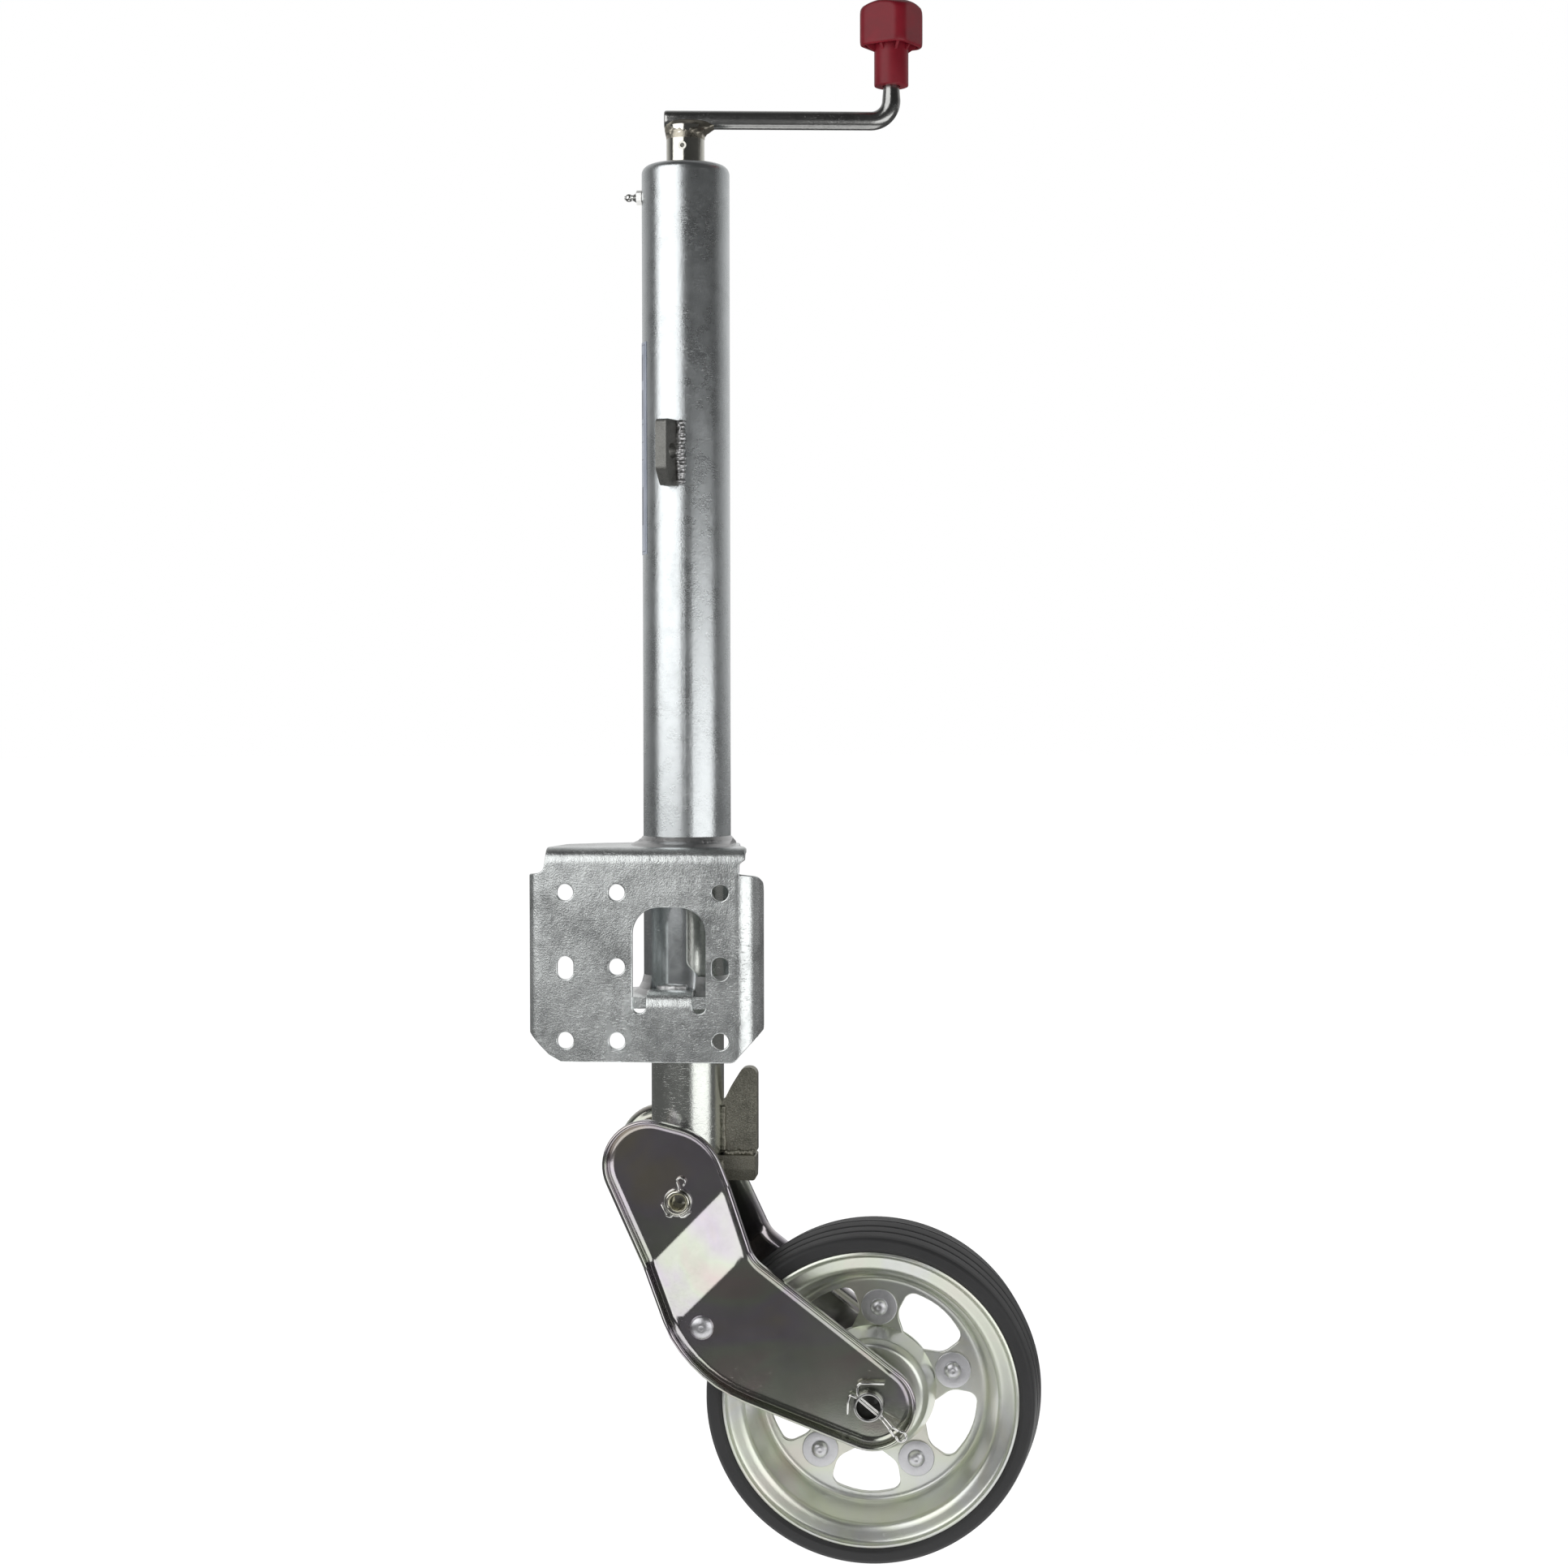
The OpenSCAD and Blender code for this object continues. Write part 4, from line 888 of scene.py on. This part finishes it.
HW = 41.0                                         # half of the tyre's width
WR = (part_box("tyre")[1].z - FLOOR) / MM / 2       # the tyre's radius
tread = [[100.7, -38.4, 0.3], [103, -HW + 0.3, 1.2], [108.4, -HW, 1.6], [110.4, -HW + 1.6, 1.2],
         [111.2, -HW + 5, 3], [112.2, -27, 0.7], [110.5, -26.7, 0.5], [110.5, -25.3, 0.5],
         [112.5, -25, 0.7], [113.5, -14.5, 0.7], [111.6, -14.2, 0.5], [111.6, -12.8, 0.5],
         [113.8, -12.5, 0.7], [WR - 0.05, -1.0, 0.7], [112.2, -0.75, 0.3]]
bed = [[99.2, -34.6, 1], [96, -32.8, 1], [91.4, -31.8, 2], [89.8, -30.2, 2], [88, -27, 2],
       [81.4, -6.4, 2], [79, -2, 2]]
loop = tread + [[r, -y, c] for r, y, c in tread[::-1]] + [[r, -y, c] for r, y, c in bed] + bed[::-1]
put("tyre_tread", lathe(soft(loop, 0.0, 4.0, 15), 192), "wheel", "tyre_rubber", ["tyre"], 38, move=at_axle)

CUP = [[HUB_R, -24, 0.3], [32, -24, 3], [36.2, -20.4, 3], [41, -2.6, 1.5], [43.5, -2.6, 0.6],
       [38.6, -21.6, 4], [34.4, -26.4, 4], [HUB_R, -26.4, 0.6]]
for s, nm in ((1, "front"), (-1, "rear")):
    put("cup_" + nm, lathe(soft([[r, y * s, c] for r, y, c in CUP], 0, 3.0, 12), 96), "wheel",
        "rim_zinc", ["hub_cup_" + nm], 38, move=at_axle)


def turned(parts, seg=48):
    """Closed turned pieces, each (profile, centre x, centre z), in one shell."""
    sh = Shell()
    for prof, cx, cz in parts:
        one = lathe(prof, seg)
        base = sh.count
        for v in one.v:
            sh.add(v + np.array([cx, 0, cz]))
        sh.f += [tuple(i + base for i in f) for f in one.f]
    return sh


def hollow(ro, ri, y0, y1, c=0.5, ci=0.4):
    return soft([[ri, y0, ci], [ro, y0, c], [ro, y1, c], [ri, y1, ci]], 0, None, 25)


angles = [math.radians(RIVET_A + 72 * i) for i in range(5)]
spots = [(RIVET_R * math.cos(a), RIVET_R * math.sin(a)) for a in angles]
washers = [hollow(12.4, 4.02, y0, y0 + 1.5, 0.5, 0.3) for y0 in (-4.0, 2.5)]
put("washers", turned([(w, x, z) for x, z in spots for w in washers]), "wheel", "rivet_zinc",
    ["rivet_washers"], 38, move=at_axle)


def dome(r, y0, h, s, dent=0.5):
    """Profile of a formed rivet head standing on y0, with a shallow flat on its crown."""
    pts = [(r, y0)]
    for x in np.linspace(8, 78, 9):
        pts.append((r * math.cos(math.radians(x)) ** 0.8, y0 + s * h * math.sin(math.radians(x))))
    pts += [(r * 0.2, y0 + s * (h - dent * 0.3)), (0, y0 + s * (h - dent))]
    return pts


head = dome(6.0, 4.0, 4.0, 1)
shank = [(y[0], -y[1]) for y in head[::-1]]
put("rivets", turned([(shank + [(4.0, -4.0), (4.0, 4.0)] + head, x, z) for x, z in spots]),
    "wheel", "rivet_zinc", ["rim_rivets"], 50, move=at_axle)
put("hub", turned([(hollow(HUB_R, 12, -42.5, 42.5), 0, 0)], 64), "wheel", "rim_zinc", ["hub_tube"], 38,
    move=at_axle)


# ---------------------------------------------------------------- pins, clips and split pins
def blind(half):
    """Turned pin with a blind bore at each end, from half its profile (axis first)."""
    return [(r, -h) for r, h in half] + [(r, h) for r, h in half[::-1]]


axle_half = [(0, 20), (7.6, 20), (8, 20.4), (8, 56.9), (8.15, 57.3), (8.5, 57.5), (9.4, 57.5),
             (9.85, 57.3), (10, 56.9)]
put("axle", lathe(blind(axle_half), 72, closed=False), "fork", "crank_steel", ["axle_tube"], 38, move=at_axle)
pin_half = [(0, 12), (5.0, 12), (5.2, 12.3), (5.2, 34.2), (5.5, 34.9), (6.6, 36.1), (7.1, 36.6),
            (7.5, 36.6), (7.9, 36.3), (8, 35.8)]
put("pivot", lathe(blind(pin_half), 64, closed=False), "fork", "socket_zinc", ["pivot_pin"], 38,
    move=at_pivot)
PLATE_Y = 49.0                                    # outer face of the fork plates, below the joggle
rod = dome(8.2, PLATE_Y, 3.9, 1, 0.7)
profile = [(a, -b) for a, b in rod[::-1]] + [(6, -PLATE_Y), (6, PLATE_Y)] + rod
put("stop_rivet", turned([(profile, SPX, SPZ)], 48), "fork", "rivet_zinc", ["stop_pin"], 50)


def clips():
    sh = Shell()
    for s in (-1, 1):
        y = s * 34.2
        sweep(circle3((0, y, 0), 9.1, 60, math.radians(100), math.radians(440)), 0.75, 10, sh=sh)
        curl = circle3((2.3, y + s * 1.2, 14.2), 2.9, 26, math.radians(-58), math.radians(214))
        lead = rounded_path([(1.2, y + s, 7.6), (0.4, y + s, 10.8), tuple(curl[-1])], 1.2, 5)
        sweep(np.concatenate([curl, lead[::-1]]), 0.72, 10, sh=sh)
        left = [(-2.4, y, -7.9), (-4.6, y + s * 1.6, -9.6), (-7.2, y + s * 1.6, -8.7),
                (-10.9, y + s * 1.2, -1.1)]
        right = [(0.4, y, -7.2), (2.3, y + s * 1.6, -9.8), (5.2, y + s * 1.6, -9.2), (8.8, y + s * 1.4, -6.6)]
        sweep(rounded_path(left, 1.6), 0.85, 10, sh=sh)
        sweep(rounded_path(right, 1.6), 0.72, 10, sh=sh)
    return sh


put("clips", clips(), "fork", "wire_steel", ["pivot_clips"], 60, move=at_pivot)


def cotters():
    sh = Shell()
    a = math.radians(-39.5)
    u, w = np.array([math.cos(a), 0, math.sin(a)]), np.array([-math.sin(a), 0, math.cos(a)])
    for s in (-1, 1):
        c = np.array([0, 54.0 * s, 0])
        o = np.array([0, 6.6 * s, 0])
        for k, near, far, bent in (
                (1, 1.0, 1.6, [(-7.6, 0, 13.4), (-5.6, 0, 15.4), (10.5, 0, 15.2)]),
                (-1, 1.5, 3.0, [(-12.4, 0, 7.8), (-13.7, 0, 3.2), (-14.2, 0, -5.6)])):
            line = [np.array(p, float) + c for p in bent[::-1]]
            line += [c + u * -10.4 + w * k, c + u * 11.6 + w * k, c + u * 19.5 + o * 0.95 + w * near * k,
                     c + u * 25.0 + o + w * far * k]
            sweep(rounded_path(line, 2.6), 0.98, 12, sh=sh)
        eye = circle3(c + u * 28.4 + o, 3.3, 30, a + math.radians(-146), a + math.radians(146))
        sweep(eye, 0.95, 12, sh=sh)
    return sh


put("split_pins", cotters(), "fork", "wire_steel", ["axle_cotters"], 60, move=at_axle)

# ---------------------------------------------------------------- crank, grip and their welds
ARM_Z, REACH = 982.2, 140.7
crank_rot = spin_z(7.0)
in_crank = lambda v: v @ crank_rot.T


def crank():
    arm = [(-14.6, 0, ARM_Z)] + [(x, 0, ARM_Z) for x in np.linspace(-12.4, REACH - 15, 20)]
    bend = 14                                    # radius of the rod's bend, along its middle
    corner = [(REACH - bend + bend * math.sin(t), 0, ARM_Z + bend - bend * math.cos(t))
              for t in np.linspace(0, QUART, 15)]
    line = np.array(arm + corner + [(REACH, 0, z) for z in np.linspace(ARM_Z + 15.5, 1043, 16)])
    r = np.where(line[:, 2] < ARM_Z + 13.9, 6.3, np.interp(line[:, 2], [ARM_Z + 14, ARM_Z + 21], [6.3, 5.68]))
    return sweep(line, r, 40, ends=0.24)


put("crank_rod", crank(), "crank", "crank_steel", ["crank_arm"], 50, move=in_crank)


def crank_beads():
    """Fillet that flares from the sleeve up to the arm's underside."""
    sh = Shell()
    n = 120
    a = np.linspace(0, 2 * math.pi, n, endpoint=False)
    ca, sa = np.cos(a), np.sin(a)
    rows = []
    top_x = np.where(ca > 0, 21.5, 14.4) * np.sign(ca) * np.abs(ca) ** 0.7
    top_y = 6.6 * np.sign(sa) * np.abs(sa) ** 0.55
    top_z = np.interp(np.abs(top_y), [0, 5.2, 6.6], [976.6, 978.4, 981.4])
    for t in np.linspace(0, 1, 15):
        k = t ** 1.9
        z = 968.6 + (top_z - 968.6) * (0.16 + 0.84 * t) if t > 0 else np.full(n, 968.4)
        x, y = 13.02 * ca * (1 - k) + top_x * k, 13.02 * sa * (1 - k) + top_y * k
        wob = np.array([noise.noise(Vector([0.28 * c for c in p]))
                        + 0.5 * noise.noise(Vector([0.7 * c for c in p])) for p in zip(x, y, z)])
        g = 0.9 * wob * math.sin(math.pi * min(1, t * 1.15)) + 0.5 * math.sin(math.pi * t)
        rows.append(sh.add(np.stack([x + g * ca, y + g * sa, z], 1)))
    rows.append(sh.add(np.stack([top_x * 0.9, top_y * 0.5, np.full(n, 978.5)], 1)))
    rows.append(sh.add(np.stack([13.0 * ca * 0.8, 13.0 * sa * 0.5, np.full(n, 977.0)], 1)))
    sh.grid(rows)
    sh.f.append(tuple(int(i) for i in rows[0]))
    sh.f.append(tuple(int(i) for i in rows[-1][::-1]))
    return sh


put("crank_bead", crank_beads(), "crank", "crank_weld", ["crank_weld"], 60, move=in_crank)


def knob():
    sh = Shell()
    n = 128
    th = np.linspace(0, 2 * math.pi, n, endpoint=False)
    z0, z1, z2, bore = 1005.7, 1032.4, 1063.4, 1049.4    # foot, lip and top of the grip, end of its bore

    def square_r(w, r):
        h, c = w / 2, w / 2 - r
        out = []
        for x in th + math.radians(34):
            dx, dy = abs(math.cos(x)), abs(math.sin(x))
            k = h / max(dx, dy)
            if min(dx, dy) * k > c:
                b = dx * c + dy * c
                k = b + math.sqrt(max(b * b - (2 * c * c - r * r), 0))
            out.append(k)
        return np.array(out)

    def smin(a, b, k):
        h = np.clip(0.5 + 0.5 * (b - a) / k, 0, 1)
        return b * (1 - h) + a * h - k * h * (1 - h)

    outer, inner = square_r(35.6, 8.0), square_r(29.8, 5.4)
    lim_z = [z1, z1 + 2.2, z1 + 4.5, z2 - 10, z2 - 7, z2 - 4.8, z2 - 2.8, z2 - 1, z2 - 0.15]
    lim_r = [21.6, 22.6, 23.2, 23.0, 22.0, 20.4, 17.2, 13.2, 10.0]

    def ring(r, z):
        return sh.add(np.stack([r * np.cos(th), r * np.sin(th), np.full(n, z)], 1))

    rows = []
    for r, z in ((5.75, bore), (5.75, z0 + 0.7), (6.2, z0), (11.0, z0), (11.5, z0 + 0.2), (11.7, z0 + 0.8),
                 (11.7, z1 - 4), (11.7, z1 + 13.4), (12.4, z1 + 14)):
        rows.append(ring(np.full(n, r), z))
    for k, z in ((0.985, z1 + 14), (1.0, z1 + 13.4), (1.0, z1 + 0.8), (1.012, z1 + 0.25)):
        rows.append(ring(inner * k, z))
    for off, z in ((-2.3, z1), (-0.9, z1 + 0.05), (-0.3, z1 + 0.5), (0.0, z1 + 1.3)):
        rows.append(ring(smin(outer + off, np.full(n, 21.8 + off), 1.2), z))
    for z in np.concatenate([np.linspace(z1 + 3, z2 - 11, 8), np.linspace(z2 - 10, z2 - 0.1, 14)]):
        rows.append(ring(smin(outer, np.full(n, np.interp(z, lim_z, lim_r)), 1.6), z))
    rows.append(ring(np.full(n, 5.0), z2))
    rows.append(np.repeat(sh.add([[0, 0, z2]]), n))
    rows.insert(0, np.repeat(sh.add([[0, 0, bore]]), n))
    sh.grid(rows)
    for i in range(8):
        x = math.radians(i * 45 - 34)
        c, s = np.array([math.cos(x), math.sin(x), 0]), np.array([-math.sin(x), math.cos(x), 0])
        far = 14.9 if i % 2 == 0 else 18.0
        low = [(11.0, z1 - 4.2), (far - 0.3, z1 + 0.6), (far - 0.3, z1 + 13.9), (11.0, z1 + 13.9)]
        p, q = [sh.add([c * a + s * t + [0, 0, b] for a, b in low]) for t in (-0.9, 0.9)]
        sh.f += [tuple(int(v) for v in p), tuple(int(v) for v in q[::-1])]
        sh.strip(p, q)
    return sh


put("grip", knob(), "knob", "knob_red", ["grip_knob"], 42,
    move=lambda v: in_crank(v + np.array([REACH, 0, 0])))


# ---------------------------------------------------------------- welds on the tube, bracket and fin
def bead(sh, a, b, step, r, sides=12, **look):
    """Weld bead along a straight line."""
    sweep(resample(np.array([a, b]), step)[0], r, sides, sh=sh, **look)


def bracket_beads():
    sh = Shell()
    a = np.linspace(math.radians(-196), math.radians(14), 110)
    ring = np.stack([30.9 * np.cos(a), 30.9 * np.sin(a), np.full(len(a), 487.7)], 1)
    ring = ring[ring[:, 0] < 28.5]
    size = 3.0 + 1.5 * np.exp(-((ring[:, 0] - 14) / 11) ** 2) + 1.0 * np.exp(-((ring[:, 0] + 27) / 6) ** 2)
    sweep(ring, size, 16, ends=0.8, sh=sh, lump=0.26, ripple=0.05, up=(0, 0, 1), squash=(0.95, 1.05),
          seed=2.2)
    a = np.linspace(math.radians(24), math.radians(158), 70)
    ring = np.stack([30.4 * np.cos(a), 30.4 * np.sin(a), np.full(len(a), 488.2)], 1)
    ring = ring[ring[:, 1] < 30.0]
    for part in (ring[ring[:, 0] > 0], ring[ring[:, 0] < 0]):
        if len(part) > 4:
            sweep(part, 3.2, 14, ends=0.8, sh=sh, lump=0.3, ripple=0.07, up=(0, 0, 1), seed=5)
    bead(sh, (-17, -31.0, 391.6), (4, -31.0, 391.6), 1, 2.4, ends=0.8, lump=0.3, seed=3)
    return sh


put("bracket_bead", bracket_beads(), "frame", "galv_weld", [], 60)
lug_rot = spin_z(-110)
in_lug = lambda v: v @ lug_rot.T + np.array([-3.5, -24, 0])


def lug_beads():
    sh = Shell()
    for x, yy, r, sd in ((5.4, 5.6, 3.2, 1.0), (7.6, -5.4, 2.7, 4.0)):
        line = resample(np.array([(x, yy, 731.5), (x + 0.5, yy, 752), (x, yy, 775.5)]), 0.7)[0]
        sweep(line, r, 16, ends=0.9, sh=sh, lump=0.42, ripple=0.1, seed=sd)
    return sh


put("lug_bead", lug_beads(), "frame", "galv_weld", ["lug_weld"], 60, move=in_lug)


def fin_beads():
    sh = Shell()
    for s in (-1, 1):
        bead(sh, (26, s * 6.3, 276.0), (46.4, s * 6.3, 276.4), 0.7, 2.2, ends=0.8, lump=0.4, ripple=0.12,
             seed=s + 3)
        bead(sh, (25.4, s * 6.0, 277), (25.4, s * 6.0, 309), 0.8, 1.6, ends=0.8, lump=0.35, ripple=0.1,
             seed=s + 5)
        bead(sh, (24.4, s * 10.2, 260.5), (24.4, s * 10.2, 273), 0.8, 1.7, ends=0.8, lump=0.35,
             ripple=0.1, seed=s)
    return sh


put("fin_bead", fin_beads(), "leg", "zinc_raw", ["fin_weld"], 60)
